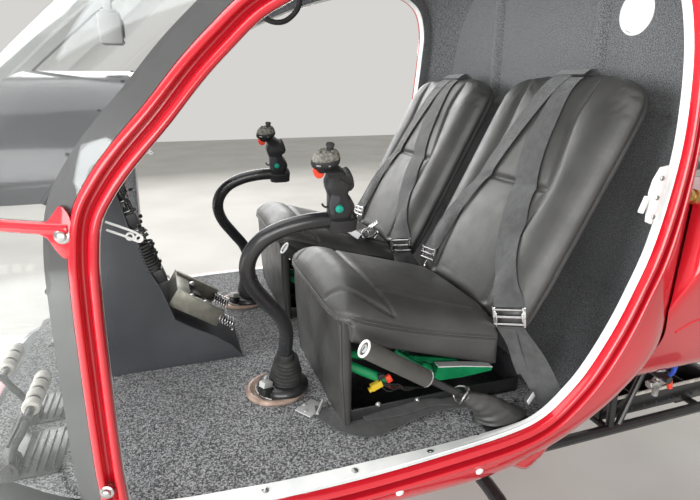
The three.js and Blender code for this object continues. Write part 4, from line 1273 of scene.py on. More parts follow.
# The grip's foot, its rear pad and its thumb rest: x and across, then x and height
GRIP_FOOT = [(-0.3720, -0.020), (-0.3740, -0.010), (-0.3740, 0.010), (-0.3720, 0.020), (-0.3600, 0.026),
             (-0.3250, 0.026), (-0.3120, 0.020), (-0.3095, 0.010), (-0.3095, -0.010), (-0.3120, -0.020),
             (-0.3250, -0.026), (-0.3600, -0.026)]
GRIP_PAD = [(-0.3430, 0.690), (-0.3540, 0.668), (-0.3555, 0.655), (-0.3470, 0.645), (-0.3300, 0.660),
            (-0.3260, 0.680)]
GRIP_REST = [(-0.3500, 0.626), (-0.3640, 0.606), (-0.3600, 0.592), (-0.3400, 0.594), (-0.3360, 0.615)]
GRIP_PANEL = [(-0.3095, 0.645), (-0.3225, 0.645), (-0.3245, 0.600), (-0.3170, 0.592), (-0.3085, 0.598)]
TRIGGER = [(-0.2750, 0.7010), (-0.2690, 0.6930), (-0.2705, 0.6830), (-0.2780, 0.6755), (-0.2870, 0.6765),
           (-0.2915, 0.6870), (-0.2880, 0.7010)]
# Outline of the grip's head seen along the stick: forward and across
HEAD = [(-0.2605, -0.0070), (-0.2595, 0.0090), (-0.2720, 0.0180), (-0.3010, 0.0205), (-0.3190, 0.0150),
        (-0.3265, 0.0010), (-0.3170, -0.0170), (-0.2860, -0.0190)]
HEAD_X, HEAD_FRONT = -0.293, -0.262
# Scale and height of the head's rings, and of the plate on it
HEAD_RINGS = ((0.52, 0.6880), (0.68, 0.6950), (0.88, 0.7005), (0.98, 0.7040), (1.0, 0.7055), (1.0, 0.7135),
              (0.975, 0.7150), (0.90, 0.7155), (0.05, 0.7155))
PLATE_RINGS = ((0.5, 0.7145), (0.945, 0.7145), (0.955, 0.7165), (0.86, 0.7250), (0.72, 0.7315),
               (0.66, 0.7328), (0.3, 0.7335), (0.05, 0.7336))
PLATE_STUDS = ((-0.270, 0.004, 0.0034), (-0.276, -0.010, 0.0030), (-0.284, 0.010, 0.0040),
               (-0.308, 0.009, 0.0034))  # forward, across and size
KNOB_AT = (-0.3265, 0.6100)
KNOB = [(0.0085, 0.0), (0.0088, 0.004), (0.0078, 0.0070), (0.0045, 0.0086), (0.0003, 0.0090)]


def leaning(y0):
    """Gives the function that places points of the stick whose foot is at y0."""
    def at(x, h, across=0.0):
        return Vector((x, y0 + across * math.cos(LEAN) + h * math.sin(LEAN),
                       h * math.cos(LEAN) - across * math.sin(LEAN)))
    return at


def rounded_slab(made, outline, half, place, inset=0.82):
    """A rounded lump: an outline carried across, smaller at its two ends."""
    path = flat_curve(outline, 4)
    cx, cy = (sum(p[k] for p in path) / len(path) for k in (0, 1))
    ends = [(1, inset * 0.6), (0.99, inset), (0.86, 0.96), (0.5, 1.0)]
    steps = [(-share, scale) for share, scale in ends] + [(0, 1.01)] + ends[::-1]
    made.rings([[place(cx + (a - cx) * scale, cy + (b - cy) * scale, half * share) for a, b in path]
                for share, scale in steps])


def bellows(made, place, folds, low, high, r_low, r_high, depth, sides=28):
    """Rings of a folded boot from low to high."""
    rings = []
    steps = folds * 6
    for k in range(steps + 1):
        t = k / steps
        radius = r_low + (r_high - r_low) * t + depth * (abs(math.sin(math.pi * folds * t)) - 0.5)
        rings.append([place(low + (high - low) * t, radius, a) for a in turns(sides)])
    made.rings(rings, True, False)


def cut_corners(points, share):
    """An outline with each corner replaced by two points, on the lines that meet there."""
    out = []
    for before, here, after in zip(points[-1:] + points[:-1], points, points[1:] + points[:1]):
        out += [tuple(b + (a - b) * share for a, b in zip(other, here)) for other in (before, after)]
    return out


def head_ring(at, scale, h):
    """A ring of the grip's head, which is lower towards its front."""
    return [at(HEAD_X + (x - HEAD_X) * scale * 0.90, h + 0.10 * min(HEAD_FRONT - x, 0.055) * scale,
               y * scale * 0.92) for x, y in cut_corners(HEAD, 0.16)]


def grip_shell(side, at, stick):
    made = Shape()
    section = [(signed_power(math.cos(a), GRIP_SQUARENESS), signed_power(math.sin(a), GRIP_SQUARENESS))
               for a in turns(28)]
    made.rings([[at((front + rear) / 2 + (front - rear) / 2 * c, h, half * s) for c, s in section]
                for h, front, rear, half in GRIP])
    made.rings([head_ring(at, scale, h) for scale, h in HEAD_RINGS])
    made.rings([[at(x, h, a) for x, a in GRIP_FOOT] for h in (0.5480, 0.5500, 0.5740, 0.5775)])
    rounded_slab(made, GRIP_PAD, 0.0155, at, 0.9)
    rounded_slab(made, GRIP_REST, 0.0165, at, 0.9)
    made.piece(f"grip_shell_{side}", PLASTIC, stick, replaces=f"cyclic_grip_{side}", slot="black_plastic",
               smooth=30, bevel=0.0008)


def grip_plate(side, at, stick, along):
    """Mottled plate on the grip's head, with small studs."""
    made = Shape()
    made.rings([head_ring(at, scale, h) for scale, h in PLATE_RINGS])
    for x, y, size in PLATE_STUDS:
        foot = at(HEAD_X + (x - HEAD_X) * 0.7, 0.7322 + 0.07 * (HEAD_FRONT - x), y * 0.6)
        made.turned([(size, 0.0), (size * 0.9, 0.0016), (size * 0.5, 0.0026), (0.0002, 0.0028)], foot,
                    along, 12)
    made.piece(f"grip_plate_{side}", MOTTLED, stick, slot="black_plastic", smooth=20)


def grip_switches(side, at, stick, along, out):
    """Stacked hat switch, screws, two bent wires and the knob's seat."""
    made = Shape()
    for k, wide in enumerate((0.0068, 0.0058, 0.0086)):
        made.turned([(0.0002, 0.0), (wide, 0.0), (wide, 0.0042), (wide * 0.8, 0.0050), (0.0002, 0.0052)],
                    at(-0.3000, 0.7340 + k * 0.0044, -0.004), along, 12)
    for x, h in ((-0.343, 0.664), (-0.302, 0.650)):
        made.screw(at(x, h, 0.0190), out, 0.0024, 0.0012)
    front_wire = [at(-0.310, 0.600, -0.004), at(-0.303, 0.601), at(-0.297, 0.606), at(-0.295, 0.610)]
    made.tube(smooth_path(front_wire, 5), 0.0022, 8)
    side_wire = [at(-0.345, 0.662, 0.0195), at(-0.335, 0.668, 0.021), at(-0.322, 0.676, 0.0195)]
    made.tube(smooth_path(side_wire, 4), 0.0026, 8)
    made.turned([(0.0115, -0.002), (0.0115, 0.0015), (0.0098, 0.003)], at(*KNOB_AT, 0.0185), out, 20)
    made.piece(f"grip_switches_{side}", RUBBER, stick, slot="black_rubber")


def grip_colours(side, at, stick, along, out):
    """Side panel, red trigger, green knob and two pale buttons."""
    panel, trigger, knob, pale = (Shape() for _ in range(4))
    rounded_slab(panel, GRIP_PANEL, 0.0012, lambda a, b, c: at(a, b, 0.0178 + c), 0.9)
    panel.piece(f"grip_panel_{side}", PANEL, stick, slot="dark_panel")
    rounded_slab(trigger, TRIGGER, 0.0062, at)
    trigger.piece(f"grip_trigger_{side}", RED_KNOB, stick, slot="black_plastic")
    knob.turned(KNOB, at(*KNOB_AT, 0.0195), out, 22)
    knob.piece(f"grip_knob_{side}", GREEN_KNOB, stick, slot="black_plastic")
    slant = (out + (at(-0.2, 0) - at(-0.3, 0)) * 3).normalized()
    for place, size, facing in ((at(-0.2745, 0.7100, 0.0152), (0.0095, 0.0026, 0.0036), slant),
                                (at(-0.2960, 0.7100, 0.0184), (0.0042, 0.0020, 0.0034), out)):
        pale.block(place, size, [facing.cross(along), facing, along], 0.0008)
    pale.piece(f"grip_buttons_{side}", STEEL, stick, slot="steel")


BOOT_X = STICK_X - 0.006
BOOT_SPLIT = 0.086  # where the boot's lower part ends and its upper part begins
STICK_COLLAR = [(0.0200, 0.0), (0.0225, 0.001), (0.0225, 0.018), (0.0205, 0.022), (0.0180, 0.0225)]


def boots(side, at, along):
    """Folded boot in a lower and an upper part."""
    def low_point(h, r, a):
        return at(BOOT_X + r * math.cos(a), h, r * math.sin(a))

    def high_point(h, r, a):
        return at(BOOT_X + 0.003 * (h - BOOT_SPLIT) / 0.066 + r * math.cos(a), h, r * math.sin(a))
    low, high = Shape(), Shape()
    bellows(low, low_point, 4, 0.034, BOOT_SPLIT, 0.0375, 0.0360, 0.0105)
    low = low.piece(f"boot_low_{side}", RUBBER, ride=False, smooth=70)
    tuple(at(BOOT_X, 0.048) + ORIGIN)
    tuple(at(BOOT_X, 0.078) + ORIGIN)
    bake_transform(low)
    bellows(high, high_point, 4, BOOT_SPLIT, 0.134, 0.0350, 0.0255, 0.0095)
    high.turned(STICK_COLLAR, at(STICK_X, 0.133), along, 24)
    high = high.piece(f"boot_high_{side}", RUBBER, ride=False, smooth=60)
    tuple(at(BOOT_X, 0.088) + ORIGIN)
    tuple(at(BOOT_X, 0.120) + ORIGIN)
    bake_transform(high)
    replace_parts(high, f"cyclic_boot_{side}")


FLOOR_RING = [(0.078, 0.0005), (0.0830, 0.003), (0.0835, 0.008), (0.0810, 0.0125), (0.0755, 0.0150),
              (0.0680, 0.0135), (0.0660, 0.0120), (0.0100, 0.0120)]
FLOOR_DOME = [(0.0695, 0.0), (0.0700, 0.005), (0.0685, 0.013), (0.0610, 0.0205), (0.0500, 0.0250),
              (0.0430, 0.0268), (0.0405, 0.0290), (0.0380, 0.0300), (0.0360, 0.0290)]
RING_X, DOME_Y, DOME_WIRE = -0.220, 0.006, 0.0735
CLEVIS_X, CLEVIS_AXES = -0.186, [(0.8, 0.5, 0.25), (-0.5, 0.86, 0), (-0.2, -0.1, 0.97)]


def stick_foot(side, y0):
    """Ring on the floor, the dome on it and the clevis beside the boot."""
    ring, dome, clevis = Shape(), Shape(), Shape()
    ring.turned(FLOOR_RING, (RING_X, y0, 0), sides=64)
    ring.piece(f"floor_ring_{side}", COPPER, replaces=f"cyclic_ring_{side}", slot="copper_ring")
    dome.turned(FLOOR_DOME, (STICK_X, y0 + DOME_Y, 0.0122), sides=64)
    dome.block((CLEVIS_X, y0 + 0.046, 0.030), (0.034, 0.026, 0.022), CLEVIS_AXES, 0.003)
    dome.piece(f"floor_dome_{side}", BLACK, slot="black_rubber", smooth=45)
    clevis.block((CLEVIS_X, y0 + 0.040, 0.049), (0.030, 0.022, 0.016), CLEVIS_AXES, 0.0015)
    clevis.tube([(STICK_X + DOME_WIRE * math.cos(a), y0 + DOME_Y + DOME_WIRE * math.sin(a), 0.0155)
                 for a in np.linspace(-0.35, 0.95, 18)], 0.0016, 8)
    clevis.piece(f"floor_clevis_{side}", TRIM, slot="steel")


def cyclic(side, sign):
    stick, gimbal = f"cyclic_stick_{side}", f"cyclic_gimbal_{side}"
    at = leaning(sign * SEAT_Y)
    along, out = at(0, 1) - at(0, 0), at(0, 0, 1) - at(0, 0, 0)
    made = Shape()
    made.tube(smooth_path([at(x, h) for x, h in STICK_PATH], 10), STICK_RADIUS, 24)
    made.piece(f"stick_tube_{side}", BLACK, stick, replaces=f"cyclic_stick_{side}", slot="black_paint")
    grip_shell(side, at, stick)
    grip_plate(side, at, stick, along)
    grip_switches(side, at, stick, along, out)
    grip_colours(side, at, stick, along, out)
    boots(side, at, along)
    stick_foot(side, sign * SEAT_Y)


# Collective levers: x of the hinge, y, then x and z of the cap
COLLECTIVES = {"port": (-0.700, 0.644, -0.360, 0.260), "starboard": (-0.672, -0.035, -0.332, 0.293)}
HINGE_Z = 0.034
LEVER_RIM = [(0.0192, -0.003), (0.0208, -0.001), (0.0206, 0.0020), (0.0185, 0.0032), (0.0160, 0.0022),
             (0.0150, -0.0020)]
LEVER_CAP = [(0.0153, -0.0028), (0.0146, -0.0016), (0.0100, -0.0022), (0.0092, 0.0004), (0.0060, 0.0012),
             (0.0002, 0.0014)]
# Radius and distance below the lever's cap
LEVER_SLEEVE = [(0.0090, 0.187), (0.0190, 0.186), (0.0205, 0.180), (0.0205, 0.120), (0.0208, 0.06),
                (0.0205, 0.006), (0.0195, 0.001)]
LEVER_NECK = [(0.0100, 0.1935), (0.0165, 0.1925), (0.0165, 0.1885), (0.0120, 0.1860)]
LEVER_RING = [(0.0196, 0.1885), (0.0214, 0.1875), (0.0214, 0.1855), (0.0200, 0.1845)]
LOOP_RADIUS = 0.021


def lever(side, hinge, cap, along, body):
    """Sleeve, rim, cap, tube and the ring of bent wire round it."""
    sleeve, rim, face, slit, tube, ring = (Shape() for _ in range(6))
    total = (cap - hinge).length
    over = along.cross(Vector(Y_AXIS))

    def below_cap(profile):
        return [(radius, total - distance) for radius, distance in profile]
    sleeve.turned(below_cap(LEVER_SLEEVE), hinge, along, 32)
    sleeve.piece(f"lever_sleeve_{side}", FOAM if side == "port" else RUBBER, body,
                 replaces=f"collective_lever_{side}", slot="grey_foam")
    rim.turned(LEVER_RIM, cap, along, 32)
    rim.piece(f"lever_rim_{side}", WHITE, body, slot="white_paint")
    face.turned(LEVER_CAP, cap, along, 28)
    face.piece(f"lever_cap_{side}", TRIM, body, slot="grey_paint")
    slit.block(cap + along * 0.0016, (0.0022, 0.0030, 0.012), [along, Y_AXIS, over], 0.0006)
    slit.piece(f"lever_slot_{side}", PANEL, body, slot="dark_panel")
    tube.tube([hinge + along * 0.030, hinge + along * (total - 0.180)], 0.0088, 18)
    tube.turned(below_cap(LEVER_NECK), hinge, along, 24)
    tube.piece(f"lever_tube_{side}", BLACK, body, slot="black_paint")
    ring.turned(below_cap(LEVER_RING), hinge, along, 32)
    middle = hinge + along * 0.112
    loop = [middle + Vector(Y_AXIS) * LOOP_RADIUS * math.cos(a) + over * LOOP_RADIUS * math.sin(a)
            + along * 0.006 * math.cos(a * 2) for a in turns(16)]
    ring.tube(smooth_path(loop, 3, True), 0.0026, 10, closed=True)
    ring.piece(f"lever_loop_{side}", STEEL, body, slot="steel")


GAITER_TOP, GAITER_LOW = 0.0115, (0.082, 0.044)  # radius at the lever, and half the length and width below
FLOOR_CLEAR = 0.0022


def gaiter(side, hinge, along):
    """Leather gaiter from the floor to the lever, with wandering folds."""
    made = Shape()
    rings = []
    foot, head = Vector((hinge.x - 0.028, hinge.y, 0.010)), hinge + along * 0.098
    folds = 4 if side == "port" else 9  # picks the folds' own pattern
    for k in range(22):
        t = k / 21
        centre = foot.lerp(head, t) + Vector((0, 0, 0.006 * math.sin(math.pi * t)))
        long, wide = (GAITER_TOP + (low - GAITER_TOP) * (1 - t ** power)
                      for low, power in zip(GAITER_LOW, (0.55, 0.62)))
        tip = Vector(Z_AXIS).lerp(along, t).normalized()
        first = (Vector(X_AXIS) - tip * tip.x).normalized()
        ring = []
        for a in turns(36):
            drift = noise.noise(Vector((math.cos(a) * 1.6, math.sin(a) * 1.6, t * 3.5 + folds)))
            fold = 1 + 0.13 * drift + 0.035 * math.sin(t * 30 + 2 * math.sin(a))
            p = centre + first * long * math.cos(a) * fold + tip.cross(first) * wide * math.sin(a) * fold
            ring.append(Vector((p.x, p.y, max(p.z, FLOOR_CLEAR))))
        rings.append(ring)
    made.rings(rings)
    made = made.piece(f"lever_gaiter_{side}", LEATHER, ride=False, smooth=80)
    soften(made)
    shade(made, 80)
    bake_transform(made)


def collective(side):
    pivot_x, y, cap_x, cap_z = COLLECTIVES[side]
    hinge, cap = Vector((pivot_x, y, HINGE_Z)), Vector((cap_x, y, cap_z))
    along = (cap - hinge).normalized()
    body = f"collective_{side}"
    lever(side, hinge, cap, along, body)
    gaiter(side, hinge, along)
    base = Shape()
    base.block((pivot_x - 0.030, y - 0.004, 0.0035), (0.130, 0.080, 0.006), bevel=0.002)
    for dx in (-0.105, 0.065):
        for dy in (-0.045, 0.045):
            base.screw((pivot_x + dx, y + dy, 0.0065), Z_AXIS, 0.004, 0.002)
    base.piece(f"lever_base_{side}", BLACK, replaces=f"collective_bracket_{side}", slot="black_paint")


# Pedals: x of the roller, inner and outer end; the left ones stand aft
PEDALS = {"port": (("left", 0.333, 0.300, 0.470), ("right", 0.427, 0.124, 0.264)),
          "starboard": (("left", 0.333, -0.124, -0.264), ("right", 0.427, -0.300, -0.470))}
AXLE_X, AXLE_Z, ARM_TOP = 0.380, 0.026, 0.138
PAD_SHARE, END_GAP = 0.66, 0.008  # a pad's part of its length along the roller
LUG = [(-0.016, 0.004), (0.016, 0.004), (0.013, 0.034), (0.006, 0.043), (-0.006, 0.043), (-0.013, 0.034)]
RAIL_X = AXLE_X + 0.031


def pedal_arm(side, which, bar_x, inner, arm_y, out):
    arm = Shape()
    arm.tube([(AXLE_X, arm_y - out * 0.024, AXLE_Z), (AXLE_X, arm_y + out * 0.006, AXLE_Z)], 0.0105, 18)
    bow = (bar_x - AXLE_X) * 0.25
    bend = [(AXLE_X, AXLE_Z), (AXLE_X + bow, AXLE_Z + 0.045), (bar_x - bow, AXLE_Z + 0.085), (bar_x, ARM_TOP)]
    arm.tube(smooth_path([(x, arm_y, z) for x, z in bend], 6), 0.0082, 14)
    arm.tube([(bar_x, inner, ARM_TOP), (bar_x, arm_y + out * 0.006, ARM_TOP)], 0.0095, 16)
    arm.turned([(0.013, 0), (0.013, 0.004), (0.009, 0.006)], (bar_x, inner + out * 0.002, ARM_TOP),
               (0, -out, 0), 18)
    arm.piece(f"pedal_arm_{which}_{side}", BLACK, f"pedal_{which}_{side}", slot="black_paint")


def pedal_pads(side, which, bar_x, inner, outer, out):
    """Pale rollers on the pedal's bar, with dark spacers between them."""
    pads, spacers = Shape(), Shape()
    body = f"pedal_{which}_{side}"
    room = abs(outer - inner) - 0.012
    count = 4 if room > 0.15 else 3
    pitch, width = room / count, room / count * PAD_SHARE
    end = [(0.0110, 0.0), (0.0165, 0.0012), (0.0182, 0.004)]
    pad = end + [(0.0188, width / 2)] + [(radius, width - along) for radius, along in end[::-1]]
    spacer = [(0.0110, 0.001), (0.0135, 0.002), (0.0135, pitch * 0.30), (0.0110, pitch * 0.32)]
    for k in range(count):
        pads.turned(pad, (bar_x, inner + out * (END_GAP + room * k / count), ARM_TOP), (0, out, 0), 28)
    pads.piece(f"pedal_pads_{which}_{side}", SLEEVE, body, replaces=f"pedal_{which}_{side}",
               slot="white_rubber")
    for k in range(count - 1):
        start = inner + out * (END_GAP + room * (k + PAD_SHARE) / count)
        spacers.turned(spacer, (bar_x, start, ARM_TOP), (0, out, 0), 20)
    spacers.piece(f"pedal_spacers_{which}_{side}", RUBBER, body, slot="black_rubber")


def pedal_foot(base, inner, arm_y, out):
    """One pedal's ribbed plate on the floor, with two lugs."""
    low, high = sorted((inner + out * 0.030, arm_y + out * 0.016))
    middle = (low + high) / 2
    base.block((AXLE_X - 0.025, middle, 0.0035), (0.134, high - low, 0.006), bevel=0.0015)
    for y in (arm_y + out * 0.013, arm_y - out * 0.031):
        base.rings([[Vector((AXLE_X + x, y + dy, z)) for x, z in LUG] for dy in (-0.0025, 0.0025)])
        base.nut((AXLE_X, y + math.copysign(0.0025, out), AXLE_Z), (0, out, 0), 0.0075, 0.004)
    for k in range(5):
        base.block((AXLE_X - 0.078 + k * 0.017, middle, 0.0095), (0.004, (high - low) * 0.86, 0.007),
                   bevel=0.001)
    for dx in (-0.082, 0.034):
        for y in (low + 0.010, high - 0.010):
            base.screw((AXLE_X + dx, y, 0.0066), Z_AXIS, 0.0045, 0.0024)


def pedals(side):
    base = Shape()
    for which, bar_x, inner, outer in PEDALS[side]:
        out = math.copysign(1, outer)
        arm_y = outer + out * 0.014
        pedal_arm(side, which, bar_x, inner, arm_y, out)
        pedal_pads(side, which, bar_x, inner, outer, out)
        pedal_foot(base, inner, arm_y, out)
    ends = sorted((a + b) / 2 for _, _, a, b in PEDALS[side])
    base.block((RAIL_X, sum(ends) / 2, 0.0035), (0.020, ends[1] - ends[0], 0.0058), bevel=0.0012)
    base.tube([(RAIL_X, ends[0], 0.013), (RAIL_X, ends[1], 0.013)], 0.0045, 12)
    base.piece(f"pedal_base_{side}", BLACK, replaces=f"pedal_bracket_{side}", slot="black_paint")


for side, sign in SIDES:
    cyclic(side, sign)
    collective(side)
    pedals(side)

# Under each seat: green beams, a boss, bolts and the wiring's connectors
BEAM_Y = SEAT_Y + 0.170
BEAM_FOOT = (-0.584, 0.092)
BEAM_BOSS = [(0.0002, -0.012), (0.0150, -0.010), (0.0195, -0.002), (0.0185, 0.006), (0.0120, 0.012),
             (0.0002, 0.013)]
BEAM = ((-0.610, 0.050), (-0.622, 0.090), (-0.700, 0.078), (-0.790, 0.060), (-0.790, 0.050), (-0.700, 0.046))
BEAM_TOP = ((-0.6225, 0.0905), (-0.700, 0.0785), (-0.790, 0.0605), (-0.790, 0.0625), (-0.700, 0.0815),
            (-0.6225, 0.0935))
BASE_BOLT = [(0.0075, 0.0), (0.0075, 0.0012), (0.0052, 0.0016), (0.0050, 0.0040), (0.0030, 0.0052),
             (0.0028, 0.0030), (0.0002, 0.0028)]
BASE_BOLTS = ((-0.434, 0.044), (-0.542, 0.034), (-0.690, 0.036))
YELLOW_AXES = [(0.93, 0, -0.36), Y_AXIS, (0.36, 0, 0.93)]
RED_AXES = [(0.9, 0, -0.43), Y_AXIS, (0.43, 0, 0.9)]


def seat_beams(y):
    beams, top = Shape(), Shape()
    foot = Vector((BEAM_FOOT[0], y + 0.004, BEAM_FOOT[1]))
    beams.tube([(-0.372, y, 0.140), (-0.470, y + 0.004, 0.082)], 0.0125, 16)
    beams.tube([(-0.500, y, 0.152), (-0.585, y + 0.004, 0.088)], 0.0090, 14)
    beams.turned(BEAM_BOSS, foot, (0, 0.6, 0.8), 20)
    beams.tube([foot, (-0.592, y + 0.006, 0.052)], [0.010, 0.004], 12)
    beams.rings([[Vector((x, y + t, z)) for x, z in BEAM] for t in (-0.022, 0.004)])
    top.rings([[Vector((x, y + t, z)) for x, z in BEAM_TOP] for t in (-0.020, 0.006)])
    return beams, top


def seat_wiring(y):
    """A yellow and a red plug, and four wires that run aft to the floor."""
    yellow, red, wires = Shape(), Shape(), Shape()
    yellow.block((-0.440, y + 0.020, 0.082), (0.030, 0.016, 0.017), YELLOW_AXES, 0.002)
    yellow.block((-0.425, y + 0.020, 0.073), (0.012, 0.012, 0.010), YELLOW_AXES, 0.0015)
    red.block((-0.474, y + 0.018, 0.094), (0.014, 0.012, 0.020), RED_AXES, 0.002)
    red_wire = [(-0.470, y + 0.018, 0.086), (-0.476, y + 0.019, 0.070), (-0.492, y + 0.012, 0.058),
                (-0.515, y, 0.052)]
    red.tube(smooth_path(red_wire, 6), 0.0017, 8)
    for k in range(4):
        c, s = math.cos(k * 0.9), math.sin(k * 0.9)
        route = [(-0.452 - 0.003 * k, y + 0.016, 0.112 - 0.004 * k), (-0.446, y + 0.022, 0.098 - 0.003 * k),
                 (-0.452 - 0.008 * k, y + 0.022 + 0.003 * s, 0.080),
                 (-0.470 - 0.014 * k, y + 0.016 + 0.006 * c, 0.060 + 0.004 * s),
                 (-0.520, y + 0.004 * k, 0.048), (-0.575, y - 0.01, 0.030), (-0.600, y - 0.03, 0.012)]
        wires.tube(smooth_path(route, 6), 0.0019, 8)
    wires.block((-0.452, y + 0.020, 0.106), (0.016, 0.012, 0.012), bevel=0.002)
    return yellow, red, wires


def under_seat(side):
    shift = 0 if side == "port" else -2 * SEAT_Y
    beams, top = seat_beams(BEAM_Y + shift)
    bolts = Shape()
    for x, z in BASE_BOLTS:
        bolts.turned(BASE_BOLT, (x, SEAT_Y + 0.2162 + shift, z), Y_AXIS, 18)
    yellow, red, wires = seat_wiring(BEAM_Y + shift)
    for label, made, finish, slot in (("seat_beams", beams, GREEN, "green_paint"),
                                      ("beam_top", top, WHITE, "white_paint"),
                                      ("base_bolts", bolts, STEEL, "steel"),
                                      ("yellow_plug", yellow, YELLOW, "black_plastic"),
                                      ("red_plug", red, RED_KNOB, "black_plastic"),
                                      ("seat_wires", wires, RUBBER, "black_rubber")):
        made.piece(f"{label}_{side}", finish, slot=slot)


for side, _ in SIDES:
    under_seat(side)

# Webbing tongue on the floor beside the port seat, with its slotted bracket; left and right edges
TONGUE = ([(-0.296, 0.452, 0.010), (-0.345, 0.486, 0.006), (-0.430, 0.512, 0.010), (-0.540, 0.520, 0.022),
           (-0.640, 0.545, 0.020), (-0.700, 0.560, 0.012)],
          [(-0.288, 0.498, 0.008), (-0.330, 0.570, 0.006), (-0.392, 0.612, 0.006), (-0.475, 0.598, 0.010),
           (-0.590, 0.585, 0.018), (-0.690, 0.590, 0.010)])
TONGUE_FOLD = (
    [(-0.380, 0.505, 0.016), (-0.470, 0.530, 0.024), (-0.560, 0.540, 0.030), (-0.640, 0.556, 0.020)],
    [(-0.400, 0.560, 0.014), (-0.490, 0.575, 0.020), (-0.580, 0.572, 0.026), (-0.640, 0.580, 0.018)])
BRACKET = Vector((-0.285, 0.452, 0.0060))


def floor_tongue():
    tongue, bracket = Shape(), Shape()
    ribbon(tongue, edge_rows(*TONGUE, 40), 0.003, crown=0.0025)
    ribbon(tongue, edge_rows(*TONGUE_FOLD, 30), 0.003, crown=0.002)
    tongue.piece("floor_tongue", WEBBING, slot="webbing")
    bracket.block(BRACKET, (0.062, 0.052, 0.0045), [(0.83, 0.55, 0), (-0.55, 0.83, 0), Z_AXIS], 0.0012)
    bracket.tube([(-0.322, 0.440, 0.012), (-0.292, 0.492, 0.012)], 0.0042, 12)
    for dx, dy in ((0.012, -0.016), (0.016, 0.012)):
        bracket.screw(BRACKET + Vector((dx, dy, 0.0023)), Z_AXIS, 0.0050, 0.0028)
    bracket.piece("tongue_bracket", TRIM, slot="steel")


floor_tongue()

# Grab loop under the roof, above the starboard door
HANG = [(-0.521, -0.502, 1.110), (-0.513, -0.500, 1.082), (-0.493, -0.500, 1.057), (-0.462, -0.500, 1.035),
        (-0.431, -0.500, 1.029), (-0.400, -0.500, 1.035), (-0.369, -0.500, 1.057), (-0.349, -0.500, 1.082),
        (-0.341, -0.502, 1.110)]


def grab_loop():
    """A rubber-covered loop whose two feet are screwed to the roof."""
    roof = Skin(bpy.data.objects["upper_skin"])
    loop, feet, screws = Shape(), Shape(), Shape()
    ends = []
    for x in (-0.530, -0.332):
        place, inwards = roof.on((x, -0.535, 1.165))
        across = Vector(X_AXIS).cross(inwards).normalized()
        feet.block(place + inwards * 0.002, (0.052, 0.026, 0.005),
                   [inwards.cross(-across), across, inwards], 0.0015)
        feet.turned([(0.0145, 0.003), (0.0145, 0.010), (0.0120, 0.014)], place, inwards, 20)
        for reach in (-0.019, 0.019):
            screws.screw(place + inwards * 0.0045 + Vector((reach, 0, 0)), inwards, 0.0032, 0.0018)
        ends.append([place + inwards * 0.006, place + inwards * 0.024])
    loop.tube(smooth_path(ends[0] + HANG + ends[1][::-1], 6), 0.0098, 14)
    loop.piece("grab_loop", RUBBER, slot="black_rubber", smooth=60)
    feet.piece("grab_feet", BLACK, slot="black_paint")
    screws.piece("grab_screws", STEEL, slot="steel")


grab_loop()


# Console between the pilots' feet; its side seen from port is x and z
CONSOLE_HALF = 0.110
CONSOLE_SIDE = [(-0.160, 0.001), (0.215, 0.001), (0.250, 0.300), (0.250, 0.555), (0.150, 0.555),
                (0.136, 0.510), (0.122, 0.440), (0.102, 0.388), (0.089, 0.330), (0.079, 0.300),
                (0.057, 0.252), (0.042, 0.200), (0.028, 0.152), (-0.015, 0.122), (-0.084, 0.080),
                (-0.128, 0.044)]
CONSOLE_AFT = CONSOLE_SIDE[4:]
AFT_UP = Vector((-0.955, 0, 0.297))  # outwards from the console's upper aft face
UP_AFT = Vector((0.297, 0, 0.955))
CONSOLE_AXES = [AFT_UP, Y_AXIS, UP_AFT]
RIVET = [(0.0026, -0.0004), (0.0024, 0.0006), (0.0012, 0.0011), (0.0001, 0.0012)]
# Upright rows of rivets: x, lowest and highest z, how many, and how far the row leans
RIVET_ROWS = ((0.190, 0.02, 0.54, 14, 0), (0.235, 0.32, 0.54, 7, 0), (0.020, 0.02, 0.13, 4, 0.03))


def on_console(z, y, lift=0.0):
    """A point on the console's aft face at a height."""
    line = sorted((z, x) for x, z in CONSOLE_AFT)
    x = float(np.interp(z, [p[0] for p in line], [p[1] for p in line]))
    return Vector((x, y, z)) + AFT_UP * lift


def console_body():
    body, trim = Shape(), Shape()
    body.rings([[(x, y, z) for x, z in CONSOLE_SIDE] for y in (-CONSOLE_HALF, CONSOLE_HALF)])
    body.piece("console_body", PANEL, replaces="console", slot="dark_panel", bevel=0.0025)
    for side in (-1, 1):
        edge = [(x, side * (CONSOLE_HALF - 0.001), z) for x, z in CONSOLE_AFT + CONSOLE_SIDE[:1]]
        trim.tube(edge, 0.0022, 8)
        places = [(x - lean * (0.5 - k / count), low + (high - low) * k / (count - 1))
                  for x, low, high, count, lean in RIVET_ROWS for k in range(count)]
        places += [(-0.145 + 0.34 * k / 14, 0.012) for k in range(15)]
        for x, z in places:
            trim.turned(RIVET, (x, side * CONSOLE_HALF, z), (0, side, 0), 8)
    trim.piece("console_rivets", PANEL, slot="dark_panel")


console_body()

# Dials: a screwed bezel, a dark face, marks and a needle
DIAL = surface("dial_face", grey(0.008), grey(0.014), (0.35, 0.45), 60)
MARK = surface("dial_marks", grey(0.65), grey(0.78), (0.4, 0.5), 60)
OLIVE = surface("olive_plate", (0.17, 0.165, 0.135), (0.27, 0.26, 0.22), (0.3, 0.5), 22,
                [("noise", 300, 0.15, 0.0004)], metallic=0.7)
SWEEP = 260  # degrees from a dial's first mark to its last
BEZEL = ((0.86, -0.001), (1.12, -0.001), (1.12, 0.0035), (1.02, 0.0052), (0.90, 0.0045), (0.86, 0.0015))


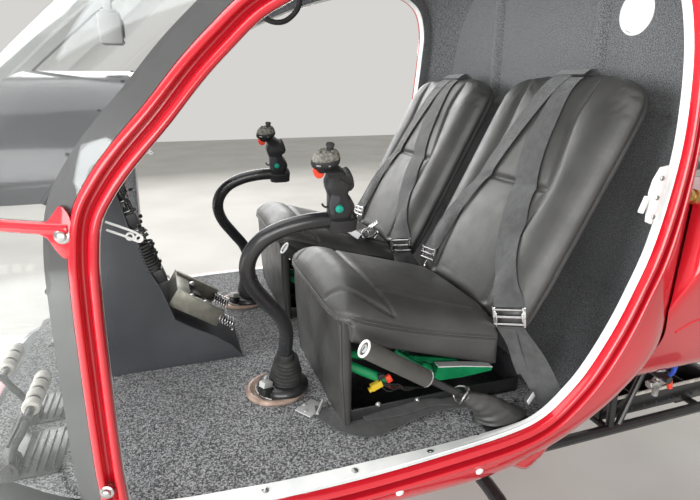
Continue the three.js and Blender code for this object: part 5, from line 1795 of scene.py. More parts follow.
class Dials:
    """Bezels, faces and marks of one panel's dials, which share an axis and a way up."""

    def __init__(self, axis, upward):
        self.bezels, self.faces, self.marks = Shape(), Shape(), Shape()
        self.axis, self.upward = axis.normalized(), upward.normalized()
        self.across = self.upward.cross(self.axis)

    def ray(self, degrees):
        a = math.radians(degrees)
        return self.upward * math.cos(a) + self.across * math.sin(a)

    def mark(self, centre, degrees, out, lift, size):
        ray = self.ray(degrees)
        self.marks.block(centre + ray * out + self.axis * lift, size, [ray, self.axis.cross(ray), self.axis])

    def dial(self, centre, radius, ticks, needle):
        centre = Vector(centre)
        self.bezels.turned([(radius * share, lift) for share, lift in BEZEL], centre, self.axis, 32)
        self.faces.turned([(radius * 0.88, 0.0), (radius * 0.88, 0.0016), (radius * 0.02, 0.0018)], centre,
                          self.axis, 32)
        for k in range(ticks):
            self.mark(centre, SWEEP * (k / (ticks - 1) - 0.5), radius * 0.72, 0.0019,
                      (radius * 0.16, radius * 0.045, 0.0004))
        self.mark(centre, SWEEP * (needle - 0.5), radius * 0.25, 0.0024,
                  (radius * 0.72, radius * 0.05, 0.0005))
        for degrees in (45, 135, 225, 315):
            self.bezels.screw(centre + self.ray(degrees) * radius * 1.28, self.axis, radius * 0.07, 0.0012)

    def pieces(self, name):
        self.bezels.piece(f"{name}_bezels", PLASTIC, slot="black_plastic")
        self.faces.piece(f"{name}_dials", DIAL, slot="black_plastic")
        self.marks.piece(f"{name}_marks", MARK, slot="white_paint")


# Knobs and switches of the console: y, z, length and radius; then blocks: z, y and size
CONSOLE_NEEDLES = ((0.520, (0.3, 0.55, 0.75)), (0.462, (0.4, 0.62, 0.2)))  # height, and one for each dial
KNOBS = ((0.096, 0.542, 0.012, 0.004), (0.096, 0.505, 0.020, 0.0045), (0.094, 0.475, 0.028, 0.005),
         (-0.095, 0.54, 0.014, 0.004), (-0.095, 0.50, 0.020, 0.0045), (0.030, 0.415, 0.018, 0.006),
         (-0.030, 0.415, 0.018, 0.006), (0.088, 0.418, 0.028, 0.006), (-0.088, 0.418, 0.018, 0.006))
SWITCH_BOXES = ((0.452, 0.093, (0.030, 0.026, 0.034)), (0.436, 0.084, (0.020, 0.030, 0.022)),
                (0.400, 0.096, (0.012, 0.012, 0.040)))


def console_knobs(knobs, silver):
    for y, z, length, radius in KNOBS:
        foot = on_console(z, y)
        silver.tube([foot, foot + AFT_UP * length], radius * 0.45, 10)
        knobs.turned([(radius * 0.5, length * 0.6), (radius, length * 0.66), (radius * 1.05, length),
                      (radius * 0.7, length * 1.16), (0.0002, length * 1.2)], foot, AFT_UP, 16)
    for k, y in enumerate(np.linspace(-0.085, 0.085, 9)):
        foot = on_console(0.378, float(y))
        silver.turned([(0.0055, 0.0), (0.0055, 0.002), (0.0035, 0.0035)], foot, AFT_UP, 12)
        tip = foot + AFT_UP * 0.016 + UP_AFT * (0.005 if k % 3 else -0.005)
        silver.tube([foot + AFT_UP * 0.002, tip], [0.0018, 0.0028], 10)
    for z, y, size in SWITCH_BOXES:
        knobs.block(on_console(z, y, size[0] / 2), size, CONSOLE_AXES, 0.003)
    handle = [on_console(0.396, 0.090), on_console(0.398, 0.090, 0.020), on_console(0.402, 0.090, 0.034)]
    knobs.tube(smooth_path(handle, 4), [0.0040] * 4 + [0.0046] * 3 + [0.0052] * 2, 10)
    knobs.block(on_console(0.282, 0.086, 0.014), (0.034, 0.036, 0.040), CONSOLE_AXES, 0.003)


CABLE_TURNS, CABLE_TOP, CABLE_PITCH = 9, 0.378, 0.0088


def cable_bundle(cords, silver):
    """A looped bundle of cable at the console's port corner."""
    for k in range(CABLE_TURNS):
        foot = on_console(CABLE_TOP - CABLE_PITCH * k, 0.092)
        reach = 0.034 + 0.003 * math.sin(k * 2.1)
        loop = [foot + AFT_UP * out + Vector(shift) for out, shift in (
            (0, (0.004, -0.018, 0.002)), (0.020, (0, -0.020, 0.003)), (reach, (0, -0.004, 0.002)),
            (0.022, (0, 0.016, -0.002)), (0, (0.004, 0.014, -0.003)))]
        cords.tube(smooth_path(loop, 5, True), 0.0038, 8, closed=True)
    for z, lift, y in ((0.333, 0.0375, 0.094), (0.327, 0.0380, 0.090)):
        silver.tube([on_console(z, y - 0.018, lift), on_console(z, y + 0.012, lift)], 0.0016, 8)
    silver.screw(on_console(0.268, 0.086, 0.032), AFT_UP, 0.006, 0.003)


# Open tray of plates over the console's foot; places in it are distance down it, y and lift
TRAY_HEAD = Vector((0.040, 0, 0.198))
DOWN = (Vector((-0.094, 0, 0.150)) - Vector((0.041, 0, 0.240))).normalized()
LIFT = Vector((DOWN.z, 0, -DOWN.x)) * (1 if -DOWN.x > 0 else -1)
TRAY_AXES = [DOWN, Y_AXIS, LIFT]
TRAY_SIDE, TRAY_LENGTH = 0.096, 0.156
TRAY_PLATES = (((0.075, 0, 0.004), (0.150, 0.190, 0.0025)), ((0.026, 0.0, 0.040), (0.044, 0.176, 0.0022)),
               ((0.001, 0, 0.024), (0.0025, 0.190, 0.050)), ((0.100, 0.060, 0.034), (0.060, 0.050, 0.0022)))
TRAY_BUTTON = [(0.0002, 0.0), (0.011, 0.0), (0.012, 0.004), (0.008, 0.009), (0.004, 0.012), (0.0002, 0.012)]
TRAY_BOXES = ((0.040, 0.05, (0.026, 0.030, 0.018)), (0.076, -0.03, (0.040, 0.050, 0.022)),
              (0.120, 0.02, (0.024, 0.060, 0.020)), (0.132, 0.072, (0.016, 0.018, 0.026)))


def in_tray(along, y, lift):
    return TRAY_HEAD + DOWN * along + LIFT * lift + Vector((0, y, 0))


def console_tray():
    tray = Shape()
    for y in (-TRAY_SIDE, TRAY_SIDE):
        tray.block(in_tray(0.078, y, 0.022), (TRAY_LENGTH, 0.0025, 0.052), TRAY_AXES, 0.0008)
        tray.block(in_tray(0.078, y * 0.94, 0.047), (TRAY_LENGTH, 0.014, 0.0022), TRAY_AXES, 0.0008)
        out = math.copysign(1, y)
        for k in range(7):
            tray.turned([(0.0028, -0.0003), (0.0025, 0.0007), (0.0002, 0.0013)],
                        in_tray(0.012 + 0.022 * k, y + out * 0.0013, 0.006), (0, out, 0), 8)
    for place, size in TRAY_PLATES:
        tray.block(in_tray(*place), size, TRAY_AXES, 0.0008)
    tray.piece("console_tray", OLIVE, slot="dark_panel")


def tray_fittings(rubber, silver):
    """Buttons, boxes and wires in the tray."""
    for along, y in ((0.052, 0.070), (0.096, 0.074), (0.060, -0.050)):
        silver.turned(TRAY_BUTTON, in_tray(along, y, 0.036), LIFT, 20)
    for along, y, size in TRAY_BOXES:
        rubber.block(in_tray(along, y, 0.018), size, TRAY_AXES, 0.002)
    for k in range(5):
        route = [in_tray(0.008, 0.085 - 0.012 * k, 0.012),
                 in_tray(0.05, 0.080 - 0.010 * k, 0.020 + 0.006 * math.sin(k)),
                 in_tray(0.095, 0.084 - 0.013 * k, 0.014), in_tray(0.150, 0.078 - 0.02 * k, 0.010)]
        rubber.tube(smooth_path(route, 6), 0.0022, 8)


SPRING_START, SPRING_PITCH, SPRING_RADIUS, SPRING_TURNS, SPRING_STEPS = 0.150, 0.0085, 0.014, 6, 16


def tray_spring(y, rubber, silver):
    """A coil at the tray's lower end, with its straight ends and the rod inside it."""
    coil = []
    for k in range(SPRING_STEPS * SPRING_TURNS + 1):
        a = 2 * math.pi * k / SPRING_STEPS
        middle = in_tray(SPRING_START + SPRING_PITCH * k / SPRING_STEPS, y, 0.022)
        coil.append(middle + LIFT * SPRING_RADIUS * math.cos(a) + Vector((0, SPRING_RADIUS * math.sin(a), 0)))
    silver.tube(coil, 0.0021, 8)
    silver.tube([in_tray(0.140, y, 0.022), in_tray(SPRING_START, y, 0.022), coil[0]], 0.0021, 8)
    silver.screw(in_tray(0.208, y, 0.004), LIFT, 0.005, 0.003)
    silver.tube([coil[-1], in_tray(0.206, y, 0.012)], 0.0022, 8)
    rubber.tube([in_tray(0.148, y, 0.022), in_tray(0.200, y, 0.022)], 0.0065, 12)


def console_details():
    dials = Dials(AFT_UP, UP_AFT)
    knobs, silver, cords, rubber = (Shape() for _ in range(4))
    for z, needles in CONSOLE_NEEDLES:
        for y, needle in zip((-0.062, 0.0, 0.062), needles):
            dials.dial(on_console(z, y, 0.0015), 0.023, 9, needle)
    console_knobs(knobs, silver)
    cable_bundle(cords, silver)
    dials.pieces("console")
    knobs.piece("console_knobs", PLASTIC, slot="black_plastic")
    cords.piece("console_cable", RUBBER, slot="black_rubber", smooth=70)
    console_tray()
    tray_fittings(rubber, silver)
    for y in (0.086, -0.086):
        tray_spring(y, rubber, silver)
    rubber.piece("console_fittings", PLASTIC, slot="black_plastic", smooth=50)
    silver.piece("console_metal", STEEL, slot="steel")


console_details()

# Glare shield over the instrument panel: its arch in y and z, and its aft edge, which leans
ARCH_HALF, ARCH_FOOT, ARCH_HEIGHT, ARCH_SQUARENESS = 0.318, 0.556, 0.282, 0.72
HOOD_TOP_X, HOOD_TOP_Z, HOOD_SLOPE = 0.041, 0.842, 0.227 / 0.286
HOOD_NEAR, HOOD_FAR, HOOD_SHEET = 0.1, 0.438, 0.004
BOARD_DEPTH = 0.022  # how far the instrument panel stands inside the hood
SHARES = [k / 64 for k in range(65)]
HOOD_SCREWS = (0.08, 0.2, 0.34, 0.46)
FACE = Vector((-0.286, 0, -0.227)).normalized()
FACE_UP = Vector((-0.227, 0, 0.286)).normalized()
PANEL_DIALS = ((0.215, 0.64, 0.036, 0.3), (0.130, 0.66, 0.040, 0.6), (0.040, 0.66, 0.040, 0.45),
               (-0.050, 0.66, 0.040, 0.7), (-0.140, 0.66, 0.040, 0.35), (-0.222, 0.64, 0.036, 0.5),
               (0.120, 0.755, 0.036, 0.55), (0.035, 0.765, 0.036, 0.4), (-0.050, 0.765, 0.036, 0.25),
               (-0.135, 0.755, 0.036, 0.65))  # y, z, radius, needle


def pod_arch(share, inset=0.0):
    """y and z along the arch, from its port foot over the top to the starboard foot."""
    angle = share * math.pi
    return ((ARCH_HALF - inset) * signed_power(math.cos(angle), ARCH_SQUARENESS),
            ARCH_FOOT + (ARCH_HEIGHT - inset) * max(math.sin(angle), 0) ** ARCH_SQUARENESS)


def pod_aft(z):
    return HOOD_TOP_X + (HOOD_TOP_Z - z) * HOOD_SLOPE


def pod_front(y, z):
    """How far forward the hood may reach under the windscreen."""
    low, high = HOOD_NEAR, HOOD_FAR
    for _ in range(24):
        x = (low + high) / 2
        inside = z < station(x)[1] - 0.040 and half_width(x, z) - 0.036 > abs(y)
        low, high = (x, high) if inside else (low, x)
    return low


def arch_line(ahead, inset):
    """The arch's points, each a distance ahead of the hood's aft edge."""
    return [Vector((pod_aft(z) + ahead, y, z)) for y, z in (pod_arch(s, inset) for s in SHARES)]


def hood():
    made = Shape()
    ends = [max(pod_front(y, z), pod_aft(z) + 0.01) for y, z in (pod_arch(s) for s in SHARES)]

    def row(t, inset, short):
        return [Vector((pod_aft(z) * (1 - t) + (end - short) * t, y, z))
                for (y, z), end in zip([pod_arch(s, inset) for s in SHARES], ends)]
    steps = [0, 0.02] + [k / 12 for k in range(1, 13)]
    outer = [row(t, 0, 0) for t in steps]
    inner = [row(t, 0.005, HOOD_SHEET) for t in steps[::-1]]
    made.rings(outer + inner, False, False, True)
    made.add(outer[-1], [tuple(range(len(SHARES)))])
    made.piece("hood_shell", GLARE, replaces="instrument_hood", slot="dark_panel", smooth=45)


def hood_rim():
    rim, board = Shape(), Shape()
    rim.tube(arch_line(0.002, 0.004), 0.0075, 14, side=X_AXIS)
    for side in (-1, 1):
        for share in HOOD_SCREWS:
            y, z = pod_arch(share if side < 0 else 1 - share, -0.0005)
            rim.screw((pod_aft(z) + 0.022, y, z), (0, -y * 0.6, z - 0.62), 0.0045, 0.0022)
    rim.piece("hood_rim", PANEL, slot="dark_panel")
    back = arch_line(BOARD_DEPTH, 0.008)
    board.rings([[p + Vector((t, 0, 0)) for p in back] for t in (0, 0.003)])
    board.piece("panel_board", PANEL, slot="dark_panel", smooth=30)


def panel_dials():
    dials = Dials(FACE, FACE_UP)
    for y, z, radius, needle in PANEL_DIALS:
        dials.dial(Vector((pod_aft(z) + BOARD_DEPTH, y, z)) + FACE * 0.001, radius, 11, needle)
    dials.pieces("panel")


hood()
hood_rim()
panel_dials()

# Compass: a boxed housing with a dark window, on two brackets from the post
WINDOW = [(0.0240, 0.0), (0.0240, 0.0025), (0.0215, 0.0040), (0.0205, 0.0015), (0.0002, 0.0016)]


def compass():
    case, window = Shape(), Shape()
    case.block((0.110, 0, 0.943), (0.056, 0.068, 0.076), bevel=0.006)
    case.block((0.110, 0, 0.9845), (0.040, 0.046, 0.008), bevel=0.002)
    for y in (-0.020, 0.020):
        case.block((0.112, y, 0.995), (0.020, 0.004, 0.034), bevel=0.001)
    case.piece("compass_case", TRIM, replaces="compass", slot="dark_panel")
    window.turned(WINDOW, (COMPASS_X, 0, 0.945), (-1, 0, 0), 32)
    for y in (0.026, -0.026):
        window.screw((COMPASS_X - 0.0002, y, 0.913), (-1, 0, 0), 0.003, 0.0016)
    window.piece("compass_window", DIAL, slot="black_plastic")


compass()


# Sills: a white ledge with ringed screws, and a black tube in the groove as painted shade
SCREW_X = (0.087, -0.123, -0.318, -0.500, -0.730)
LEDGE_TOP, LEDGE_FOOT = 0.0300, 0.0640  # how far its two edges lie inside the hull's side
BOLT_PLACES = ((-0.409, -0.050), (-0.608, -0.046))
SILL_SCREW = [(0.0075, -0.001), (0.0078, 0.0010), (0.0060, 0.0016), (0.0052, 0.0010), (0.0048, 0.0024),
              (0.0030, 0.0032), (0.0002, 0.0034)]
BELLY_BOLT = [(0.0090, -0.003), (0.0090, 0.0016), (0.0070, 0.0034), (0.0035, 0.0042), (0.0002, 0.0044)]


def sill_height(x):
    low = sorted((p.x, p.z) for p in door_curve if p.z < 0.11 and p.x < 0.12)
    return float(np.interp(x, [p[0] for p in low], [p[1] for p in low]))


def ledge_edges(x, sign):
    """The ledge's upper edge and its foot."""
    z = sill_height(x)
    top = Vector((x, sign * (half_width(x, z) - LEDGE_TOP), z + 0.0012))
    return top, Vector((x, sign * (half_width(x, 0.0) - LEDGE_FOOT), max(0.0030, z * 0.35)))


def sill(side, sign):
    ledge, screws, groove_shade, heads = (Shape() for _ in range(4))
    rings = []
    for x in np.linspace(-0.790, 0.110, 50):
        top, foot = ledge_edges(x, sign)
        rings.append([top, foot, foot - Vector((0, 0, 0.0026)), top - Vector((0, 0, 0.0034))])
    ledge.rings(rings)
    ledge.piece(f"sill_ledge_{side}", WHITE, replaces=f"sill_strip_{side}", slot="white_paint", smooth=30)
    for x in SCREW_X:
        top, foot = ledge_edges(x, sign)
        facing = Vector((0, (top.z - foot.z) * -sign, abs(top.y - foot.y))).normalized()
        screws.turned(SILL_SCREW, (top + foot) / 2, facing, 20)
    screws.piece(f"sill_screws_{side}", STEEL, slot="steel")
    # A black tube along the groove's bottom: painted shade for the groove's dark line
    low = [(x, z) for x, z in door_line(0.0250) if z < 0.06 and -0.86 < x < 0.10]
    groove_shade.tube([(x, sign * (half_width(x, z) - 0.0160), z) for x, z in low][::2], 0.0034, 8)
    groove_shade.piece(f"sill_seal_{side}", RUBBER, slot="black_rubber")
    for x, z in BOLT_PLACES:
        heads.turned(BELLY_BOLT, (x, sign * (half_width(x, z) + 0.0008), z), (0, sign, -0.25), 20)
    heads.piece(f"belly_bolts_{side}", WHITE, slot="white_paint")


# Dark band along the acrylic's edge, just under it
DARK_PAINT = surface("blackout_band", grey(0.050), grey(0.066), (0.3, 0.42), 5,
                     [("noise", 600, 0.15, 0.0004)])
BAND_EDGES = (0.0484, 0.0860)  # outwards from the door opening
BAND_DEPTHS = (0.0075, 0.0100)  # below the hull's surface
BAND_FRONT, BAND_TOP, BAND_AFT = 0.3, 1.06, -0.33


def edge_band(side, sign):
    edges = [door_line(outwards) for outwards in BAND_EDGES]
    keep = [i for i, p in enumerate(door_curve) if -0.325 < p.x and p.z > 0.02]
    start = next(k for k in range(len(keep)) if keep[k] - keep[k - 1] != 1)
    near, far = BAND_DEPTHS
    rows = []
    for i in keep[start:] + keep[:start]:
        (x0, z0), (x1, z1) = edges[0][i], edges[1][i]
        if x1 > BAND_FRONT or z1 > BAND_TOP or min(x0, x1) < BAND_AFT:
            continue
        rows.append([(x, sign * (half_width(x, z) - depth), z)
                     for x, z, depth in ((x0, z0, near), (x1, z1, near), (x1, z1, far), (x0, z0, far))])
    band = Shape()
    band.rings(rows)
    band.piece(f"edge_band_{side}", DARK_PAINT, slot="dark_panel", smooth=50)


# Door latch plate on the rear jamb, and the stay's wire loop at the front
LATCH = [(-1.060, 0.632), (-1.038, 0.628), (-1.022, 0.600), (-1.016, 0.572), (-1.018, 0.536), (-1.020, 0.504),
         (-1.036, 0.497), (-1.052, 0.552), (-1.060, 0.590)]
LATCH_BOLTS = ((-1.041, 0.604), (-1.036, 0.560), (-1.034, 0.516))
STAY_Y = 0.650
STAY = [(0.112, 0.582), (0.085, 0.569), (0.064, 0.557), (0.058, 0.549), (0.064, 0.544), (0.084, 0.554),
        (0.112, 0.568)]
STAY_RINGS, STAY_RING = ((0.076, 0.5535), (0.062, 0.5485)), 0.0058


def latch(side, sign):
    made, bolts = Shape(), Shape()
    wall = half_width(-1.025, 0.56)
    made.rings([[(x, sign * (wall - depth), z) for x, z in LATCH] for depth in (0.034, 0.0285, 0.0265)])
    made.block((-1.006, sign * (wall - 0.030), 0.545), (0.012, 0.010, 0.040),
               [(0.94, 0, 0.34), Y_AXIS, (-0.34, 0, 0.94)], 0.002)
    made.piece(f"latch_plate_{side}", WHITE, slot="white_paint", bevel=0.002)
    for x, z in LATCH_BOLTS:
        bolts.nut((x, sign * (wall - 0.0265), z), (0, sign, 0), 0.0058, 0.004)
    bolts.piece(f"latch_bolts_{side}", STEEL, slot="steel")


def door_stay(side, sign):
    stay = Shape()
    y = sign * STAY_Y
    stay.tube(smooth_path([(x, y, z) for x, z in STAY], 5), 0.0020, 8)
    for x, z in STAY_RINGS:
        stay.tube([(x + STAY_RING * math.cos(a), y + 0.002 * sign, z + STAY_RING * math.sin(a))
                   for a in turns(18)], 0.0019, 8, closed=True)
    stay.piece(f"door_stay_{side}", WHITE, slot="white_paint")


# Moulded tab under the belly's edge
TAB = [(-0.668, -0.066), (-0.700, -0.080), (-0.730, -0.092), (-0.764, -0.108), (-0.789, -0.096),
       (-0.815, -0.070), (-0.832, -0.040), (-0.815, -0.018), (-0.740, -0.022), (-0.680, -0.040)]
TAB_X, TAB_Z = -0.755, -0.060
TAB_SECTIONS = ((0.600, 0.6), (0.640, 0.95), (0.690, 1.0), (0.716, 0.95), (0.724, 0.6))  # y and scale


def belly_tab(side, sign):
    tab = Shape()
    outline = flat_curve(TAB, 3)
    tab.rings([[(TAB_X + (x - TAB_X) * k, sign * y, TAB_Z + (z - TAB_Z) * k) for x, z in outline]
               for y, k in TAB_SECTIONS])
    tab.piece(f"belly_tab_{side}", RED, slot="red_paint", smooth=60)


# Side tank with rounded corners and pressed creases; its section is y and z
TANK = [(0.500, 0.040), (0.610, 0.012), (0.668, 0.060), (0.770, 0.380), (0.740, 0.520), (0.690, 0.545),
        (0.500, 0.560)]
TANK_ROUNDING = 0.026
TANK_LENGTHS = ((-1.1805, 0.935), (-1.1830, 0.955), (-1.1880, 0.975), (-1.1950, 0.988), (-1.2060, 0.996),
                (-1.2200, 1.0), (-1.5, 1.0), (-1.9200, 1.0), (-1.9450, 0.992), (-1.9650, 0.970),
                (-1.9780, 0.935), (-1.9840, 0.890))  # x and scale
TANK_Y, TANK_Z = 0.620, 0.290
CREASES = ([(-1.160, 0.160), (-1.185, 0.200), (-1.230, 0.226), (-1.320, 0.236), (-1.600, 0.240),
            (-1.900, 0.240)],
           [(-1.225, 0.400), (-1.300, 0.430), (-1.600, 0.440), (-1.900, 0.440)])
FILLER = (-1.480, 0.600, 0.5545)
FILLER_CAP = [(0.046, -0.004), (0.046, 0.006), (0.040, 0.010), (0.036, 0.011), (0.036, 0.024), (0.030, 0.028),
              (0.0002, 0.029)]
TANK_SCREW_X, TANK_SCREW_Z = (-1.26, -1.40, -1.56, -1.72, -1.88), 0.505


def tank_section():
    """The tank's outline with its corners rounded."""
    loop = []
    for before, here, after in zip(TANK[-1:] + TANK[:-1], TANK, TANK[1:] + TANK[:1]):
        corner = Vector(here)
        back, ahead = Vector(before) - corner, Vector(after) - corner
        reach = min(TANK_ROUNDING, back.length * 0.45, ahead.length * 0.45)
        start, end = corner + back.normalized() * reach, corner + ahead.normalized() * reach
        loop += [start.lerp(corner, t).lerp(corner.lerp(end, t), t) for t in (0, 0.25, 0.5, 0.75, 1.0)]
    return loop


def tank_shift(x, z):
    """How far forward the tank's lower part reaches at its front."""
    return min(max((0.50 - z) * 0.26, 0), 0.10) * min(max((-1.182 - x) / -0.30 + 1, 0), 1)


def tank(side, sign):
    body = Shape()
    body.rings([[(x + tank_shift(x, p.y), sign * (TANK_Y + (p.x - TANK_Y) * k), TANK_Z + (p.y - TANK_Z) * k)
                 for p in tank_section()] for x, k in TANK_LENGTHS])
    outside = bare(hull_solid(-0.004), "outside")
    made = carve(bare(body), ("DIFFERENCE", outside))
    drop(outside)
    made.name = f"tank_skin_{side}"
    paint(made, RED)
    shade(made, 40)
    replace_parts(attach(made, "cabin"), f"side_tank_{side}")


def on_tank(x, z, sign, lift=0.0):
    """A point on the tank's outer side."""
    y = 0.668 + 0.102 * (z - 0.060) / 0.320 if z < 0.38 else 0.770 - 0.030 * (z - 0.380) / 0.140
    return Vector((x, sign * (y + lift), z))


def tank_details(side, sign):
    creases, caps = Shape(), Shape()
    for points in CREASES:
        creases.tube(smooth_path([on_tank(max(x, -1.93), z, sign, -0.0015) for x, z in points
                                  if x < -1.182], 8), 0.0048, 10)
    creases.piece(f"tank_creases_{side}", RED, slot="red_paint")
    x, y, z = FILLER
    caps.turned(FILLER_CAP, (x, sign * y, z), (0, sign * 0.08, 1), 40)
    for a in turns(8):
        caps.screw((x + 0.041 * math.cos(a), sign * (y + 0.041 * math.sin(a)), z + 0.008), Z_AXIS, 0.0032,
                   0.0018)
    for x in TANK_SCREW_X:
        caps.screw(on_tank(x, TANK_SCREW_Z, sign, 0.0008), (0, sign, 0.2), 0.0050, 0.0026)
    caps.piece(f"tank_fittings_{side}", STEEL, slot="steel")


# Drain under the tank's front, with its lever, and the nut on the surround's hinge
DRAIN = Vector((-1.300, 0.600, 0.018))
DRAIN_BODY = [(0.016, 0.0), (0.016, 0.008), (0.010, 0.012), (0.010, 0.040), (0.014, 0.044), (0.014, 0.060),
              (0.009, 0.066), (0.009, 0.094), (0.0002, 0.095)]
DRAIN_COLLAR = [(0.015, 0.0), (0.016, 0.004), (0.016, 0.014), (0.012, 0.016)]
HINGE_NUT = [(0.0090, 0.0), (0.0170, 0.001), (0.0170, 0.012), (0.0125, 0.014), (0.0125, 0.022),
             (0.0180, 0.024), (0.0180, 0.036), (0.0125, 0.039), (0.0120, 0.056), (0.0002, 0.057)]


def tank_drain(side, sign):
    drain, handle, band, nut = (Shape() for _ in range(4))

    def near(x, y, z):
        return Vector((DRAIN.x, sign * DRAIN.y, DRAIN.z)) + Vector((x, sign * y, z))
    drain.turned(DRAIN_BODY, near(0, 0, 0), (0, 0, -1), 18)
    drain.tube([near(0.026, 0, -0.052), near(-0.040, 0, -0.052)], [0.010, 0.010], 14)
    drain.nut(near(0.026, 0, -0.052), X_AXIS, 0.013, 0.008)
    handle.tube(smooth_path([near(-0.040, 0, -0.040), near(-0.044, 0.010, -0.020),
                             near(-0.046, 0.012, 0.002)], 4), 0.0065, 10)
    band.tube([near(-0.043, 0.006, -0.050), near(-0.046, 0.008, -0.075)], 0.0075, 10)
    pipe = [(-1.120, sign * 0.632, 0.080), (-1.160, sign * 0.630, 0.062), (-1.200, sign * 0.628, 0.052)]
    drain.tube(smooth_path(pipe, 4), 0.0115, 16)
    drain.turned(DRAIN_COLLAR, (-1.136, sign * 0.631, 0.073), (-0.9, 0, -0.4), 18)
    drain.piece(f"tank_drain_{side}", STEEL, slot="steel")
    handle.piece(f"drain_handle_{side}", BLUE, slot="black_plastic")
    band.piece(f"drain_band_{side}", RED_KNOB, slot="black_plastic")
    nut.turned(HINGE_NUT, (-1.136, sign * (half_width(-1.15, 0.555) - 0.006), 0.5575), (-0.98, 0, -0.2), 24)
    nut.piece(f"hinge_nut_{side}", BRASS, slot="steel")


for side, sign in SIDES:
    for build in (sill, edge_band, latch, door_stay, belly_tab, tank, tank_details, tank_drain):
        build(side, sign)

# Tray beside the frame: folded sheet with a serrated strip along its top edge
SHEET, SHEET_EDGE = 0.003, 0.0008
TEETH, TOOTH = 62, 0.004


def cabin_box(name):
    """A CAD node's box, in cabin coordinates."""
    return [Vector(corner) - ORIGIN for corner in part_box(name)]


def tray_body(low, high):
    made = Shape()
    mid, size = (low + high) / 2, high - low
    for y in (high.y - SHEET / 2, low.y + SHEET / 2):
        made.block((mid.x, y, mid.z), (size.x, SHEET, size.z), bevel=SHEET_EDGE)
    made.block((mid.x, mid.y, low.z + SHEET / 2), (size.x, size.y, SHEET), bevel=SHEET_EDGE)
    for x in (low.x + SHEET / 2, high.x - SHEET / 2, mid.x - 0.12, mid.x + 0.12):
        made.block((x, mid.y, mid.z), (SHEET, size.y, size.z), bevel=SHEET_EDGE)
    for x in (low.x + 0.10, high.x - 0.10):
        made.block((x, mid.y, low.z - 0.012), (0.060, 0.070, 0.024), bevel=0.004)
    for k in range(9):
        made.screw((low.x + size.x * (k + 0.5) / 9, high.y, mid.z - 0.02), Y_AXIS, 0.005, 0.003)
    made.piece("tray_body", BLACK, replaces="tray_port", slot="black_paint")


def tray_teeth(low, high):
    made = Shape()
    step = (high.x - low.x) / TEETH
    profile = []
    for k in range(TEETH):
        x = low.x + (high.x - low.x) * k / TEETH
        profile += [(x, high.z - TOOTH), (x + step * 0.5, high.z + TOOTH)]
    profile += [(high.x, high.z - TOOTH), (high.x, high.z - 0.010), (low.x, high.z - 0.010)]
    made.rings([[(x, y, z) for x, z in profile] for y in (high.y + 0.0002, high.y + 0.0026)])
    made.piece("tray_teeth", SLEEVE, slot="white_rubber")


tray_body(*cabin_box("tray_port"))
tray_teeth(*cabin_box("tray_port"))

# Clamps and wear shoes of the skids
CLAMP_X, SHOE_X = (0.060, -0.800), (-1.30, -0.55, 0.40)
SADDLE = [(0.0235, 0.0), (0.0290, 0.004), (0.0290, 0.034), (0.0235, 0.038)]


def clamp_profile(radius):
    """Radius and distance along the skid; the same both ways."""
    half = [(radius * 1.02, 0.055), (radius + 0.006, 0.052), (radius + 0.007, 0.020), (radius + 0.004, 0.016)]
    return [(r, -along) for r, along in half] + half[::-1]


def skid_gear():
    clamps, shoes = Shape(), Shape()
    for side, sign in SIDES:
        low, high = cabin_box(f"skid_{side}")
        y, radius = (low.y + high.y) / 2, (high.y - low.y) / 2
        z = low.z + radius
        for x in CLAMP_X:
            clamps.turned(clamp_profile(radius), (x, y, z), X_AXIS, 28)
            for dx in (-0.036, 0.036):
                clamps.nut((x + dx, y, z + radius + 0.004), Z_AXIS, 0.009, 0.007)
            clamps.turned(SADDLE, (x, y - sign * 0.020, z + radius + 0.006), (0, -sign * 0.55, 0.84), 24)
        for x in SHOE_X:
            shoes.block((x, y, low.z + 0.0045), (0.30, radius * 1.15, 0.0070), bevel=0.002)
    ground = low.z + 0.0003
    clamps.points = [Vector((p.x, p.y, max(p.z, ground))) for p in clamps.points]
    clamps.piece("gear_clamps", BLACK, slot="black_paint", smooth=50)
    shoes.piece("skid_shoes", STEEL, slot="steel")


skid_gear()


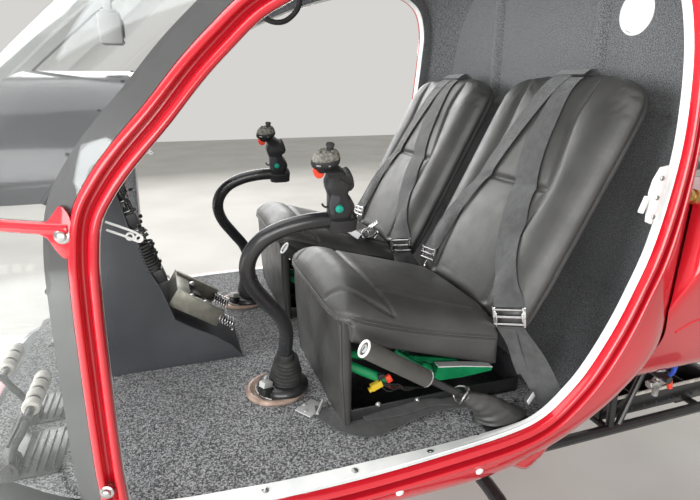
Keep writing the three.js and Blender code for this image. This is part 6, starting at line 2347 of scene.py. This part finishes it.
# Finishes of the CAD parts that stay as they are, by the node's name with or without its side
FINISHES = {
    "floor_carpet": CARPET, "windscreen_post": TRIM, "tube_frame": BLACK, "gear_tube_front": BLACK,
    "gear_tube_rear": BLACK, "tray": BLACK, "skid": BLACK, "side_tank": RED, "seat_box": LEATHER,
    "seat_tubes": GREEN, "seat_cushion": LEATHER, "seat_back": LEATHER, "harness": WEBBING,
    "cyclic_ring": COPPER, "cyclic_pivot": STEEL, "cyclic_boot": RUBBER, "cyclic_stick": BLACK,
    "cyclic_grip": PLASTIC, "collective_bracket": BLACK, "collective_lever": FOAM, "pedal_bracket": BLACK,
    "pedal_left": SLEEVE, "pedal_right": SLEEVE, "sill_strip": WHITE, "door_surround": RED,
}
for name, part in frame["nodes"].items():
    finish = FINISHES.get(name) or FINISHES.get(name.rsplit("_", 1)[0])
    if finish:
        paint(part, finish)


# Floor and light
FLOOR_REACH, FLOOR_DROP = 14, 0.0005  # its half width, and how far it lies under the skids


def stage_floor():
    made = Shape()
    corners = ((-1, -1), (1, -1), (1, 1), (-1, 1))
    made.add([(x * FLOOR_REACH, y * FLOOR_REACH, -ORIGIN.z - FLOOR_DROP) for x, y in corners], [(0, 1, 2, 3)])
    finish = surface("pale_floor", (0.43, 0.418, 0.394), (0.48, 0.468, 0.444), (0.6, 0.75), 1.2,
                     Specular_IOR_Level=0.12)
    made.piece("studio_floor", finish, ride=False)


def area_light(name, place, aim, size, power, tint=(1, 1, 1), glossy=True):
    """A rectangular light at a place, turned to what it aims at; both in cabin coordinates."""
    light = bpy.data.lights.new(name, "AREA")
    light.shape, light.size, light.size_y = "RECTANGLE", size[0], size[1]
    light.energy, light.color = power, tint
    made = bpy.data.objects.new(name, light)
    bpy.context.scene.collection.objects.link(made)
    made.location = Vector(place) + ORIGIN
    made.visible_glossy = glossy
    made.rotation_mode = "QUATERNION"
    made.rotation_quaternion = (Vector(aim) - Vector(place)).to_track_quat("-Z", "Y")


def studio_world(color, strength):
    world = bpy.data.worlds.new("studio")
    bpy.context.scene.world = world
    world.use_nodes = True
    background = world.node_tree.nodes["Background"]
    background.inputs["Color"].default_value = (*color, 1)
    background.inputs["Strength"].default_value = strength


stage_floor()
area_light("sky_panel", (0.6, -1.0, 4.4), (-0.2, 0, 0.3), (5, 4), 130, (0.97, 0.985, 1))
area_light("nose_panel", (4.8, 1.2, 1.15), (-0.4, 0, 0.5), (3.6, 2.2), 560, (0.95, 0.98, 1), glossy=False)
area_light("far_panel", (0.6, -6.6, 3.1), (-0.3, 0, 0.5), (6.6, 3.6), 360)
area_light("near_panel", (1.6, 4.4, 1.25), (-0.5, 0.2, 0.4), (5, 2.2), 190)
studio_world((0.84, 0.83, 0.80), 0.80)
bpy.context.scene.view_settings.view_transform = "Standard"
